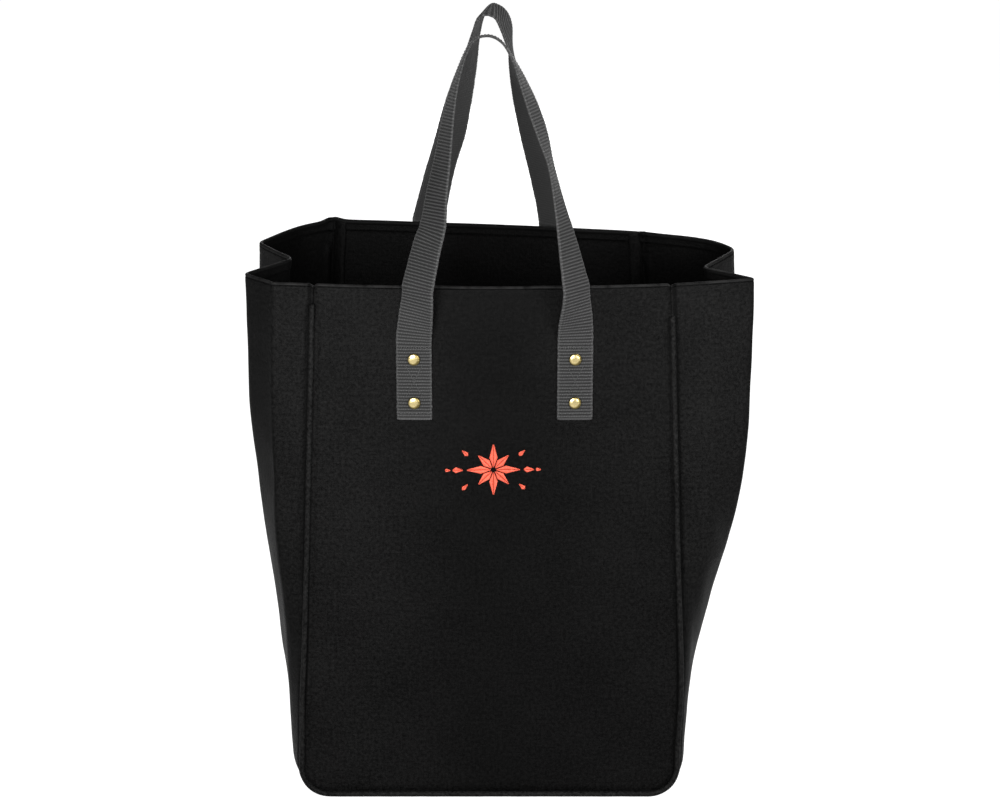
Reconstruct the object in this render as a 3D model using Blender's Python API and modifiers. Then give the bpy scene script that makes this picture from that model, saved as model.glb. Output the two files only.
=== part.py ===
"""Kindling bag: an open cloth tote with a bellows gusset and two twisted webbing handles.

Metres, +Z up. The origin is on the floor under the middle of the base. The front faces -Y.
"""

from collections import namedtuple
from math import acos, cos, pi, radians, sin, sqrt, tan

import bmesh
import bpy
from mathutils import Matrix, Vector

# Bag body
BAG_HEIGHT = 0.457
BASE_WIDTH = 0.334           # between the seams, if the bottom corners were square
BASE_DEPTH = 0.250
FRONT_MOUTH_WIDTH = 0.296
BACK_MOUTH_WIDTH = 0.277
CORNER_RADIUS = 0.028
FRONT_LEAN = 0.043           # how far a panel's side seam leans in over the bag's height
BACK_LEAN_LEFT = 0.018
BACK_LEAN_RIGHT = 0.056
BACK_SWAY = -0.0055          # sideways shift of the back panel's mouth
FRONT_BOW = 0.008            # how far a panel's middle stands out at the mouth
BACK_BOW = 0.003
LEFT_WING_REACH = 0.0615     # how far the gusset's folded wing stands out beyond the seam
RIGHT_WING_REACH = 0.0715
FOLD_ROUNDING = 0.006        # length of cloth taken by half a fold's bend
SHORT_FOLD_SHARE = 0.4       # the most of a short run between two folds that half a bend may take
CLOTH = 0.0018
GAP = 0.0003                 # between pieces that are sewn or riveted together
MERGE = 0.00001              # points closer than this are one

# Piping
PIPING_DIAMETER = 0.004
PIPING_DROP = 0.027          # from the rim down to the piping's ends
PIPING_TUCK = 0.080          # height over which the piping moves from the seam's edge to its front

# Handles
WEBBING_WIDTH = 0.030
WEBBING_THICKNESS = 0.0018
HANDLE_SPACING = 0.134       # between the middles of a handle's tails
HANDLE_OFFSET = 0.002        # handles sit this far right of the bag's middle
TAIL_LENGTH = 0.112          # from the rim down to the webbing's cut end
FREE_LENGTH = 0.051          # from the rim down to the top of the sewn stretch
FRONT_LOOP_RISE = 0.2005     # from the rim up to the middle of the loop's top
BACK_LOOP_RISE = 0.216
FRONT_LOOP_LEAN = radians(13.0)
BACK_LOOP_LEAN = radians(24.0)
LEAN_SETTLES = 0.35          # share of the loop's rise over which it turns from the panel to its lean

# Rivets
RIVET_HEAD_DIAMETER = 0.0105
RIVET_HEAD_HEIGHT = 0.0026
RIVET_SHANK_DIAMETER = 0.003
RIVET_CAP_DIAMETER = 0.009
RIVET_CAP_THICKNESS = 0.001
RIVET_RIM_SHARE = 0.2        # share of the head's height below its dome
LOWER_RIVET_RISE = 0.0125    # above the webbing's cut end
UPPER_RIVET_RISE = 0.050

# Fineness of the faceted surfaces
SIDE_ROWS = 13
ARC_STEPS = 7
BASE_STEPS = 4
PANEL_COLUMNS = 12
RIVET_SIDES = 14
STEPS_PER_TWIST_ROW = 4
TAIL_STEPS = 6
FREE_STEPS = 6
DOME_STEPS = 5

# The gusset's folds, one row for each height. "at" is a share of the way from the front seam to the
# back seam and "out" a share of that wing's reach: crease, front corner, tip of the inward fold,
# back corner and back crease.
FoldRow = namedtuple("FoldRow", "height crease_at crease_out front_at front_out tip_at tip_out "
                                "rear_at rear_out back_at back_out")

LEFT_FOLDS = [
    FoldRow(0.00, 0.10, 0.19, 0.30, 0.22, 0.50, 0.21, 0.70, 0.20, 0.90, 0.17),
    FoldRow(0.10, 0.09, 0.22, 0.27, 0.29, 0.50, 0.30, 0.72, 0.27, 0.91, 0.20),
    FoldRow(0.22, 0.07, 0.24, 0.25, 0.35, 0.49, 0.42, 0.73, 0.36, 0.92, 0.23),
    FoldRow(0.36, 0.05, 0.32, 0.22, 0.50, 0.47, 0.54, 0.72, 0.49, 0.92, 0.29),
    FoldRow(0.50, 0.03, 0.41, 0.19, 0.67, 0.45, 0.56, 0.70, 0.63, 0.91, 0.35),
    FoldRow(0.62, 0.02, 0.47, 0.17, 0.79, 0.43, 0.53, 0.68, 0.75, 0.90, 0.40),
    FoldRow(0.76, 0.015, 0.52, 0.155, 0.92, 0.41, 0.49, 0.66, 0.87, 0.90, 0.44),
    FoldRow(0.90, 0.015, 0.54, 0.15, 0.97, 0.39, 0.44, 0.64, 0.93, 0.90, 0.46),
    FoldRow(1.00, 0.015, 0.55, 0.146, 1.00, 0.375, 0.42, 0.615, 0.94, 0.90, 0.47),
]

RIGHT_FOLDS = [
    FoldRow(0.00, 0.08, 0.07, 0.28, 0.09, 0.50, 0.09, 0.72, 0.09, 0.92, 0.07),
    FoldRow(0.10, 0.07, 0.10, 0.26, 0.13, 0.49, 0.15, 0.74, 0.14, 0.93, 0.11),
    FoldRow(0.22, 0.06, 0.14, 0.22, 0.22, 0.46, 0.29, 0.75, 0.27, 0.92, 0.18),
    FoldRow(0.36, 0.04, 0.23, 0.17, 0.43, 0.42, 0.48, 0.74, 0.45, 0.90, 0.30),
    FoldRow(0.50, 0.02, 0.35, 0.13, 0.69, 0.38, 0.59, 0.70, 0.66, 0.87, 0.45),
    FoldRow(0.62, 0.015, 0.43, 0.10, 0.85, 0.36, 0.59, 0.67, 0.80, 0.85, 0.56),
    FoldRow(0.76, 0.015, 0.47, 0.075, 0.95, 0.33, 0.56, 0.64, 0.90, 0.84, 0.66),
    FoldRow(0.90, 0.015, 0.49, 0.055, 0.985, 0.30, 0.53, 0.61, 0.96, 0.83, 0.74),
    FoldRow(1.00, 0.02, 0.49, 0.05, 1.00, 0.284, 0.51, 0.60, 0.98, 0.82, 0.78),
]

# The handles' loops, from the left leg over the top to the right leg. "across" is a share of half the
# spacing, "up" a share of the loop's rise, and "turn" the webbing's twist in degrees: none where it
# lies flat to the panel, 90 where its inside edge has become the edge away from the bag.
TwistRow = namedtuple("TwistRow", "across up turn")

FRONT_LOOP = [
    TwistRow(-0.94, 0.00, 27),
    TwistRow(-0.83, 0.16, 37),
    TwistRow(-0.75, 0.25, 44),
    TwistRow(-0.70, 0.38, 54),
    TwistRow(-0.64, 0.50, 62),
    TwistRow(-0.54, 0.72, 74),
    TwistRow(-0.43, 0.86, 83),
    TwistRow(-0.283, 0.97, 88),
    TwistRow(-0.093, 1.00, 90),
    TwistRow(0.086, 0.976, 90),
    TwistRow(0.231, 0.905, 87),
    TwistRow(0.34, 0.826, 79),
    TwistRow(0.472, 0.716, 72),
    TwistRow(0.584, 0.61, 73),
    TwistRow(0.69, 0.485, 81),
    TwistRow(0.80, 0.32, 72),
    TwistRow(0.88, 0.20, 60),
    TwistRow(1.00, 0.00, 40),
]

BACK_LOOP = [
    TwistRow(-0.82, 0.00, 20),
    TwistRow(-0.735, 0.13, 28),
    TwistRow(-0.64, 0.26, 27),
    TwistRow(-0.515, 0.40, 25),
    TwistRow(-0.413, 0.55, 34),
    TwistRow(-0.315, 0.69, 48),
    TwistRow(-0.217, 0.818, 66),
    TwistRow(-0.138, 0.91, 71),
    TwistRow(-0.055, 0.966, 67),
    TwistRow(0.06, 0.972, 79),
    TwistRow(0.18, 0.93, 96),
    TwistRow(0.249, 0.872, 98),
    TwistRow(0.288, 0.80, 86),
    TwistRow(0.336, 0.714, 68),
    TwistRow(0.462, 0.563, 44),
    TwistRow(0.579, 0.404, 35),
    TwistRow(0.673, 0.261, 36),
    TwistRow(0.783, 0.121, 26),
    TwistRow(0.845, 0.00, 22),
]


# Helpers

def lerp(a, b, share):
    return a + (b - a) * share


def smooth_step(share):
    share = min(max(share, 0.0), 1.0)
    return share * share * (3.0 - 2.0 * share)


def through_rows(before, start, end, after, share):
    """A smooth value between two table rows, with their neighbours for the slope."""
    return 0.5 * (2.0 * start + (end - before) * share
                  + (2.0 * before - 5.0 * start + 4.0 * end - after) * share ** 2
                  + (3.0 * start - before - 3.0 * end + after) * share ** 3)


def material(name, colour, roughness, metallic=0.0):
    new = bpy.data.materials.new(name)
    new.use_nodes = True
    shader = new.node_tree.nodes["Principled BSDF"]
    shader.inputs["Base Color"].default_value = (*colour, 1.0)
    shader.inputs["Roughness"].default_value = roughness
    shader.inputs["Metallic"].default_value = metallic
    return new


def add_object(name, data, collection, parent, finish=None):
    new = bpy.data.objects.new(name, data)
    collection.objects.link(new)
    new.parent = parent
    if finish is not None:
        data.materials.append(finish)
    return new


def add_sheet(name, rows, thickness, side, finish):
    """A wall from rows of surface points, thickened to the side: -1 inward, 0 both ways."""
    columns = len(rows[0])
    mesh = bpy.data.meshes.new(name)
    grid = bmesh.new()
    bmesh.ops.create_grid(grid, x_segments=columns - 1, y_segments=len(rows) - 1, size=1.0)
    grid.verts.ensure_lookup_table()
    for index, vert in enumerate(grid.verts):
        vert.co = rows[index // columns][index % columns]
    grid.to_mesh(mesh)
    grid.free()
    mesh.shade_smooth()
    new = add_object(name, mesh, parts, bag, finish)
    wall = new.modifiers.new("Cloth", "SOLIDIFY")
    wall.thickness = thickness
    wall.offset = side
    wall.use_even_offset = True
    return new


# Panels

Panel = namedtuple("Panel", "facing mouth_width lean_left lean_right sway bow")

FRONT = Panel(-1.0, FRONT_MOUTH_WIDTH, FRONT_LEAN, FRONT_LEAN, 0.0, FRONT_BOW)
BACK = Panel(1.0, BACK_MOUTH_WIDTH, BACK_LEAN_LEFT, BACK_LEAN_RIGHT, BACK_SWAY, BACK_BOW)


def half_width(panel, height):
    """Half the panel's width at a height, with its rounded bottom corners."""
    share = height / BAG_HEIGHT
    straight = lerp(BASE_WIDTH, panel.mouth_width, share) / 2.0
    if height >= CORNER_RADIUS:
        return straight
    below = CORNER_RADIUS - height
    return straight - CORNER_RADIUS + sqrt(max(CORNER_RADIUS ** 2 - below ** 2, 0.0))


def panel_point(panel, x, height):
    """The panel's outer surface at a sideways place and a height."""
    share = height / BAG_HEIGHT
    middle = panel.sway * share
    straight = lerp(BASE_WIDTH, panel.mouth_width, share) / 2.0
    across = (x - middle) / straight
    lean = lerp(panel.lean_left, panel.lean_right, (across + 1.0) / 2.0) * share
    bow = panel.bow * share ** 2 * (1.0 - across ** 2)
    return Vector((x, panel.facing * (BASE_DEPTH / 2.0 - lean + bow), height))


def panel_normal(panel, x, height):
    step = CLOTH
    along = panel_point(panel, x + step, height) - panel_point(panel, x - step, height)
    up = panel_point(panel, x, height + step) - panel_point(panel, x, height - step)
    return (along.cross(up) * -panel.facing).normalized()


def edge_point(panel, side, height):
    """The seam at a height: side is -1 for left and 1 for right."""
    middle = panel.sway * height / BAG_HEIGHT
    return panel_point(panel, middle + side * half_width(panel, height), height)


def arc_height(step):
    return CORNER_RADIUS * (1.0 - cos(pi / 2.0 * step / ARC_STEPS))


def side_heights():
    """Heights of the surface's rows, from the base up to the rim."""
    arc = [arc_height(step) for step in range(ARC_STEPS)]
    straight = [lerp(CORNER_RADIUS, BAG_HEIGHT, row / SIDE_ROWS) for row in range(SIDE_ROWS + 1)]
    return arc + straight


def add_panel(name, panel):
    rows = []
    for height in side_heights():
        left = edge_point(panel, -1.0, height).x
        right = edge_point(panel, 1.0, height).x
        start, end = (left, right) if panel.facing < 0.0 else (right, left)
        places = [lerp(start, end, column / PANEL_COLUMNS) for column in range(PANEL_COLUMNS + 1)]
        rows.append([panel_point(panel, x, height) for x in places])
    return add_sheet(name, rows, CLOTH, -1.0, cloth)


# Gusset

def fold_row(table, height_share):
    """The fold table read at any height, smoothly between its rows."""
    above = next((i for i, row in enumerate(table) if row.height >= height_share), len(table) - 1)
    above = max(above, 1)
    start, end = table[above - 1], table[above]
    before = table[max(above - 2, 0)]
    after = table[min(above + 1, len(table) - 1)]
    share = (height_share - start.height) / (end.height - start.height)
    values = [through_rows(*four, share) for four in zip(before, start, end, after)]
    return FoldRow(*values)


Station = namedtuple("Station", "front back along side height swell")


def seam_stations():
    """Places along both seams, from the left rim down, over the base and up to the right rim."""
    stations = []
    heights = side_heights()
    for side in (-1.0, 1.0):
        ordered = list(reversed(heights)) if side < 0.0 else heights
        for height in ordered:
            swell = smooth_step(height / CORNER_RADIUS)
            front = edge_point(FRONT, side, height)
            back = edge_point(BACK, side, height)
            stations.append((front, back, side, height, swell))
        if side < 0.0:
            flat = edge_point(FRONT, 1.0, 0.0).x
            for step in range(1, BASE_STEPS):
                x = lerp(-flat, flat, step / BASE_STEPS)
                front, back = panel_point(FRONT, x, 0.0), panel_point(BACK, x, 0.0)
                stations.append((front, back, side, 0.0, 0.0))
    full = []
    for index, (front, back, side, height, swell) in enumerate(stations):
        last = stations[max(index - 1, 0)]
        following = stations[min(index + 1, len(stations) - 1)]
        along = ((following[0] - last[0]) + (following[1] - last[1])).normalized()
        full.append(Station(front, back, along, side, height, swell))
    return full


def seam_inset(panel_inward, run):
    """How far the gusset's cut edge stays from the seam, for the angle that it meets the panel at."""
    angle = acos(max(min(panel_inward.dot(run), 1.0), -1.0))
    if angle < pi / 2.0:
        return (CLOTH * (1.0 + cos(angle)) + GAP) / sin(angle)
    return CLOTH * sin(angle) + GAP


def panel_inward(panel, station):
    """The direction in the panel, square to its seam, that points to the panel's middle."""
    place = station.front if panel is FRONT else station.back
    normal = panel_normal(panel, place.x, max(place.z, CLOTH))
    return (normal.cross(station.along) * -panel.facing).normalized()


def gusset_row(station):
    """One row of the gusset's surface from the front seam to the back seam, with its folds."""
    left = station.side < 0.0
    table, reach = (LEFT_FOLDS, LEFT_WING_REACH) if left else (RIGHT_FOLDS, RIGHT_WING_REACH)
    folds = fold_row(table, station.height / BAG_HEIGHT)
    depth = station.back - station.front
    outward = Vector((depth.y, -depth.x, 0.0)).normalized() * station.side
    corners = [station.front]
    for at, out in ((folds.crease_at, folds.crease_out), (folds.front_at, folds.front_out),
                    (folds.tip_at, folds.tip_out), (folds.rear_at, folds.rear_out),
                    (folds.back_at, folds.back_out)):
        corners.append(station.front + depth * at + outward * (out * reach * station.swell))
    corners.append(station.back)

    first_run = (corners[1] - corners[0]).normalized()
    last_run = (corners[-2] - corners[-1]).normalized()
    points = [corners[0] + first_run * seam_inset(panel_inward(FRONT, station), first_run)]
    for before, corner, after in zip(corners, corners[1:], corners[2:]):
        back_way = before - corner
        on_way = after - corner
        start = corner + back_way.normalized() * min(FOLD_ROUNDING, SHORT_FOLD_SHARE * back_way.length)
        end = corner + on_way.normalized() * min(FOLD_ROUNDING, SHORT_FOLD_SHARE * on_way.length)
        points += [start, (start + 2.0 * corner + end) / 4.0, end]
    points.append(corners[-1] + last_run * seam_inset(panel_inward(BACK, station), last_run))
    return points


def add_gusset():
    rows = [gusset_row(station) for station in seam_stations()]
    return add_sheet("gusset", rows, CLOTH, -1.0, cloth)


# Piping

def piping_point(panel, station):
    """The piping's middle: on the seam's edge up the sides, in front of the panel at the base."""
    row = gusset_row(station)
    edge, near, normal_sign = (row[0], row[1], 1.0) if panel is FRONT else (row[-1], row[-2], -1.0)
    seam = station.front if panel is FRONT else station.back
    run = (near - edge).normalized()
    gusset_normal = (run.cross(station.along) * normal_sign).normalized()
    normal = panel_normal(panel, seam.x, max(seam.z, CLOTH))
    inward = panel_inward(panel, station)
    reach = PIPING_DIAMETER / 2.0 + GAP
    half_angle = acos(max(min(normal.dot(gusset_normal), 1.0), -1.0)) / 2.0
    edge_share = smooth_step((station.height - CORNER_RADIUS) / PIPING_TUCK)
    sideways = lerp(PIPING_DIAMETER / 2.0, -reach * sin(half_angle), edge_share)
    outward = reach if sideways >= 0.0 else sqrt(reach ** 2 - sideways ** 2)
    return seam + normal * outward + inward * sideways


def add_piping(name, panel):
    stations = seam_stations()
    top = BAG_HEIGHT - PIPING_DROP
    points = [piping_point(panel, station) for station in stations]
    kept = [point for point in points if point.z < top]
    first = points.index(kept[0])
    last = points.index(kept[-1])
    left_share = (top - points[first].z) / (points[first - 1].z - points[first].z)
    right_share = (top - points[last].z) / (points[last + 1].z - points[last].z)
    ends = (lerp(points[first], points[first - 1], left_share),
            lerp(points[last], points[last + 1], right_share))
    route = [ends[0], *kept, ends[1]]

    curve = bpy.data.curves.new(name, "CURVE")
    curve.dimensions = "3D"
    curve.bevel_depth = PIPING_DIAMETER / 2.0
    curve.bevel_resolution = 2
    curve.use_fill_caps = True
    spline = curve.splines.new("POLY")
    spline.points.add(len(route) - 1)
    for point, place in zip(spline.points, route):
        point.co = (*place, 1.0)
    return add_object(name, curve, parts, bag, cord_cloth)


# Handles

def tail_surface(panel, x, height, above):
    return panel_point(panel, x, height) + panel_normal(panel, x, height) * above


def loop_samples(table):
    """The loop table read smoothly, several steps for each row."""
    samples = []
    last = len(table) - 1
    for index in range(last):
        four = [table[max(index - 1, 0)], table[index], table[index + 1], table[min(index + 2, last)]]
        for step in range(STEPS_PER_TWIST_ROW):
            share = step / STEPS_PER_TWIST_ROW
            samples.append(TwistRow(*(through_rows(*values, share) for values in zip(*four))))
    samples.append(table[-1])
    return samples


def handle_path(panel, table, rise, lean):
    """Middles, twists and facing directions along a handle, from tail to tail."""
    half_spacing = HANDLE_SPACING / 2.0
    middle = panel.sway + HANDLE_OFFSET
    flat = GAP + WEBBING_THICKNESS / 2.0
    path = []
    for side, rim in ((-1.0, table[0]), (1.0, table[-1])):
        leg = []
        for step in range(TAIL_STEPS + 1):
            height = BAG_HEIGHT - lerp(TAIL_LENGTH, FREE_LENGTH, step / TAIL_STEPS)
            x = HANDLE_OFFSET + side * half_spacing
            leg.append((tail_surface(panel, x, height, flat), 0.0, panel_normal(panel, x, height)))
        for step in range(1, FREE_STEPS):
            share = step / FREE_STEPS
            height = BAG_HEIGHT - FREE_LENGTH * (1.0 - share)
            x = lerp(HANDLE_OFFSET + side * half_spacing, middle + rim.across * half_spacing,
                     smooth_step(share))
            turn = radians(rim.turn) * smooth_step(share)
            above = flat + sin(turn) * WEBBING_WIDTH / 2.0
            leg.append((tail_surface(panel, x, height, above), turn, panel_normal(panel, x, height)))
        path.append(leg)

    plane = Vector((0.0, panel.facing * cos(lean), sin(lean)))
    loop = []
    for sample in loop_samples(table):
        x = middle + sample.across * half_spacing
        rim_turn = radians(lerp(table[0].turn, table[-1].turn, (sample.across + 1.0) / 2.0))
        foot = tail_surface(panel, x, BAG_HEIGHT, flat + sin(rim_turn) * WEBBING_WIDTH / 2.0)
        height = sample.up * rise
        place = foot + Vector((0.0, -panel.facing * tan(lean) * height, height))
        side_normal = panel_normal(panel, x, BAG_HEIGHT)
        facing = lerp(side_normal, plane, smooth_step(sample.up / LEAN_SETTLES)).normalized()
        loop.append((place, radians(sample.turn), facing))
    return path[0] + loop + list(reversed(path[1]))


def add_handle(name, panel, table, rise, lean):
    path = handle_path(panel, table, rise, lean)
    rows = []
    for index, (place, turn, facing) in enumerate(path):
        before = path[max(index - 1, 0)][0]
        after = path[min(index + 1, len(path) - 1)][0]
        along = (after - before).normalized()
        outward = (facing - along * facing.dot(along)).normalized()
        inside = (along.cross(outward) * -panel.facing).normalized()
        across = inside * cos(turn) + outward * sin(turn)
        half = across * (WEBBING_WIDTH / 2.0) * -panel.facing
        rows.append([place - half, place, place + half])
    return add_sheet(name, rows, WEBBING_THICKNESS, 0.0, webbing)


# Rivets

def rivet_places():
    """Sideways places and heights of a handle's rivets."""
    tail_end = BAG_HEIGHT - TAIL_LENGTH
    return [(HANDLE_OFFSET + side * HANDLE_SPACING / 2.0, tail_end + rise)
            for side in (-1.0, 1.0) for rise in (LOWER_RIVET_RISE, UPPER_RIVET_RISE)]


def rivet_frame(panel, x, height):
    """The rivet's place and turn: its own Z points away from the bag."""
    turn = panel_normal(panel, x, height).to_track_quat("Z", "Y").to_matrix().to_4x4()
    return Matrix.Translation(panel_point(panel, x, height)) @ turn


def rivet_mesh():
    """A rivet's half outline, from the top of its head down to its inner cap."""
    seat = 2.0 * GAP + WEBBING_THICKNESS
    head = RIVET_HEAD_DIAMETER / 2.0
    shank = RIVET_SHANK_DIAMETER / 2.0
    cap = RIVET_CAP_DIAMETER / 2.0
    under = -CLOTH - GAP
    outline = [(0.0, seat + RIVET_HEAD_HEIGHT)]
    for step in range(1, DOME_STEPS + 1):
        angle = pi / 2.0 * step / DOME_STEPS
        level = lerp(RIVET_RIM_SHARE, 1.0, cos(angle))
        outline.append((head * sin(angle), seat + RIVET_HEAD_HEIGHT * level))
    outline += [(head, seat), (shank, seat), (shank, under), (cap, under),
                (cap, under - RIVET_CAP_THICKNESS), (0.0, under - RIVET_CAP_THICKNESS)]
    mesh = bpy.data.meshes.new("rivet")
    mesh.from_pydata([(radius, 0.0, level) for radius, level in outline],
                     [(i, i + 1) for i in range(len(outline) - 1)], [])
    return mesh


def add_rivets(prefix, panel, sheets):
    """Four rivets through a handle's tails and its panel, and the holes they pass through."""
    hole = bpy.data.collections.new(prefix + "_holes")
    cutters.children.link(hole)
    turned = rivet_mesh()
    turned.materials.append(brass)
    for number, (x, height) in enumerate(rivet_places(), start=1):
        frame = rivet_frame(panel, x, height)
        rivet = add_object(f"{prefix}_rivet_{number}", turned, parts, bag)
        rivet.matrix_world = frame
        spin = rivet.modifiers.new("Turned", "SCREW")
        spin.axis = "Z"
        spin.steps = RIVET_SIDES
        spin.render_steps = RIVET_SIDES
        spin.use_merge_vertices = True
        spin.merge_threshold = MERGE

        drill = bmesh.new()
        radius = RIVET_SHANK_DIAMETER / 2.0 + GAP
        through = CLOTH + WEBBING_THICKNESS + GAP
        bmesh.ops.create_cone(drill, cap_ends=True, segments=RIVET_SIDES, radius1=radius, radius2=radius,
                              depth=4.0 * through)
        mesh = bpy.data.meshes.new("hole")
        drill.to_mesh(mesh)
        drill.free()
        cutter = add_object(f"{prefix}_hole_{number}", mesh, hole, bag)
        cutter.matrix_world = frame
        cutter.hide_render = True
        cutter.display_type = "WIRE"
    for sheet in sheets:
        cut = sheet.modifiers.new("Rivet holes", "BOOLEAN")
        cut.operation = "DIFFERENCE"
        cut.operand_type = "COLLECTION"
        cut.collection = hole


# Build

for old in list(bpy.data.objects):
    bpy.data.objects.remove(old, do_unlink=True)

parts = bpy.data.collections.new("kindling_bag")
cutters = bpy.data.collections.new("cutters")
bpy.context.scene.collection.children.link(parts)
bpy.context.scene.collection.children.link(cutters)
bag = bpy.data.objects.new("bag", None)
parts.objects.link(bag)

cloth = material("black cloth", (0.012, 0.012, 0.013), 0.85)
cord_cloth = material("piping", (0.015, 0.015, 0.016), 0.75)
webbing = material("grey webbing", (0.075, 0.078, 0.080), 0.80)
brass = material("brass", (0.60, 0.50, 0.24), 0.30, 1.0)

front_panel = add_panel("front_panel", FRONT)
back_panel = add_panel("back_panel", BACK)
add_gusset()
add_piping("front_piping", FRONT)
add_piping("back_piping", BACK)
front_handle = add_handle("front_handle", FRONT, FRONT_LOOP, FRONT_LOOP_RISE, FRONT_LOOP_LEAN)
back_handle = add_handle("back_handle", BACK, BACK_LOOP, BACK_LOOP_RISE, BACK_LOOP_LEAN)
add_rivets("front", FRONT, (front_panel, front_handle))
add_rivets("back", BACK, (back_panel, back_handle))
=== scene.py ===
from math import acos, cos, exp, pi, radians, sin, sqrt, tan

import bpy
from mathutils import Matrix, Vector, noise


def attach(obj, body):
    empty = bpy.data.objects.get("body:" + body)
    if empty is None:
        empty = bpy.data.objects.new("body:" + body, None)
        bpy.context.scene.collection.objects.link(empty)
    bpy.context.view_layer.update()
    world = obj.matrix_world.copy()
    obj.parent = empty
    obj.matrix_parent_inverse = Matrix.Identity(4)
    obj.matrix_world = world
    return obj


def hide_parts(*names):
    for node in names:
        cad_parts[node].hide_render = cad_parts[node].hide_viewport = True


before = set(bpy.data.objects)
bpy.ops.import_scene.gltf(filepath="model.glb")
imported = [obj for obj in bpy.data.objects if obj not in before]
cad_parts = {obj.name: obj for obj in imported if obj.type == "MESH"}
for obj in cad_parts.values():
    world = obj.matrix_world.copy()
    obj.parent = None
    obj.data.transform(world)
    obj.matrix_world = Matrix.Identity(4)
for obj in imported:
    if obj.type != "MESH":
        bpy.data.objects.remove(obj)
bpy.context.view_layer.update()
print("frame loaded,", len(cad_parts), "solids")

# sizes in metres that every piece follows
bag = {
    "height": 0.457,
    "baseWidth": 0.334,  # between the side seams
    "baseDepth": 0.250,
    "cornerRadius": 0.028,
    "cloth": 0.0018,
    "gap": 0.0003,
    "footShift": -0.0030,  # the base stands a little to the left
    "footHeight": 0.140,
}
frontPanel = {
    "name": "front",
    "facing": -1.0,
    "mouthWidth": 0.296,
    "leanLeft": 0.043,  # how far the side seam leans in at the rim
    "leanRight": 0.043,
    "sway": 0.0,
    "bow": 0.008,
}
backPanel = {
    "name": "back",
    "facing": 1.0,
    "mouthWidth": 0.277,
    "leanLeft": 0.018,
    "leanRight": 0.056,
    "sway": -0.0055,
    "bow": 0.003,
}


def mix(a, b, share):
    return a + (b - a) * share


def ease(share):
    share = min(max(share, 0.0), 1.0)
    return share * share * (3.0 - 2.0 * share)


def throughRows(before, start, end, after, share):  # a smooth value between two table rows
    return 0.5 * (
        2.0 * start
        + (end - before) * share
        + (2.0 * before - 5.0 * start + 4.0 * end - after) * share**2
        + (3.0 * start - before - 3.0 * end + after) * share**3
    )


def readTable(table, share):  # every column of a table at a share of its first one
    above = next((i for i, row in enumerate(table) if row[0] >= share), len(table) - 1)
    above = max(above, 1)
    start, end = table[above - 1], table[above]
    before, after = table[max(above - 2, 0)], table[min(above + 1, len(table) - 1)]
    part = (share - start[0]) / (end[0] - start[0])
    return [throughRows(*four, part) for four in zip(before, start, end, after)]


def bump(distance, width):  # 1 on a line, fading to 0 over the width
    return exp(-((distance / width) ** 2))


def unevenness(place, size, seed):  # soft noise from -1 to 1 whose waves are about that long
    return noise.noise(Vector(place) / size + Vector((seed, seed * 1.7, seed * 0.6)))


hem = {
    # rows of points below the rim: the hem's lower end, its stitched groove and its edge
    "rows": [
        0.0130, 0.0112, 0.0100, 0.0092, 0.0084, 0.0074, 0.0062, 0.0050, 0.0040, 0.0032, 0.0026,
        0.0022, 0.0019, 0.0016, 0.0014, 0.0012, 0.0010, 0.0008, 0.0004, 0.0,
    ],
    "depth": 0.0088,  # cloth folded in under the rim
    "extra": 0.0011,  # thickness that the fold adds
    "extraFade": 0.0016,
    "edge": 0.00015,  # how far the fold stands out, fading below edgeEnd
    "edgeEnd": 0.006,
    "edgeFade": 0.004,
    "stitchLine": 0.0012,  # below the flat's upper end, which is under the rounded edge
    "groove": 0.00040,  # pulled in along the stitches
    "grooveWidth": 0.0005,
    "crease": 0.0018,  # the bare seam above the piping is pulled in deep
    "creaseWidth": 0.0026,
    "creaseEnd": 0.025,  # below the rim
    "creaseFade": 0.006,
    "roomFade": 0.012,  # the rounded edge's room is gone that far below the rim, and the dip
    "dipFade": 0.010,
    # where a seam crosses the rim it dips or swells: rise and width for both sides
    "front": {-1.0: (-0.0018, 0.0014), 1.0: (-0.0018, 0.0014)},
    "back": {-1.0: (0.0028, 0.0085), 1.0: (0.0012, 0.0022)},
}


# materials: one small class for shader maths, one for the node trees


class Signal:
    def __init__(self, finish, socket):
        self.finish = finish
        self.socket = socket

    def maths(self, operation, *others):
        return self.finish.node(
            "ShaderNodeMath", {"operation": operation}, dict(enumerate((self, *others)))
        )

    def __add__(self, other):
        return self.maths("ADD", other)

    __radd__ = __add__

    def __sub__(self, other):
        return self.maths("SUBTRACT", other)

    def __rsub__(self, other):
        return self.finish.node("ShaderNodeMath", {"operation": "SUBTRACT"}, {0: other, 1: self})

    def __mul__(self, other):
        return self.maths("MULTIPLY", other)

    __rmul__ = __mul__

    def __truediv__(self, other):
        return self.maths("DIVIDE", other)

    def __abs__(self):
        return self.maths("ABSOLUTE")

    def sine(self):
        return self.maths("SINE")

    def floor(self):
        return self.maths("FLOOR")

    def smooth(self, low, high):  # 0 at low, 1 at high, eased between
        return self.finish.node(
            "ShaderNodeMapRange",
            {"interpolation_type": "SMOOTHSTEP"},
            {"Value": self, "From Min": low, "From Max": high, "To Min": 0.0, "To Max": 1.0},
        )


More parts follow.
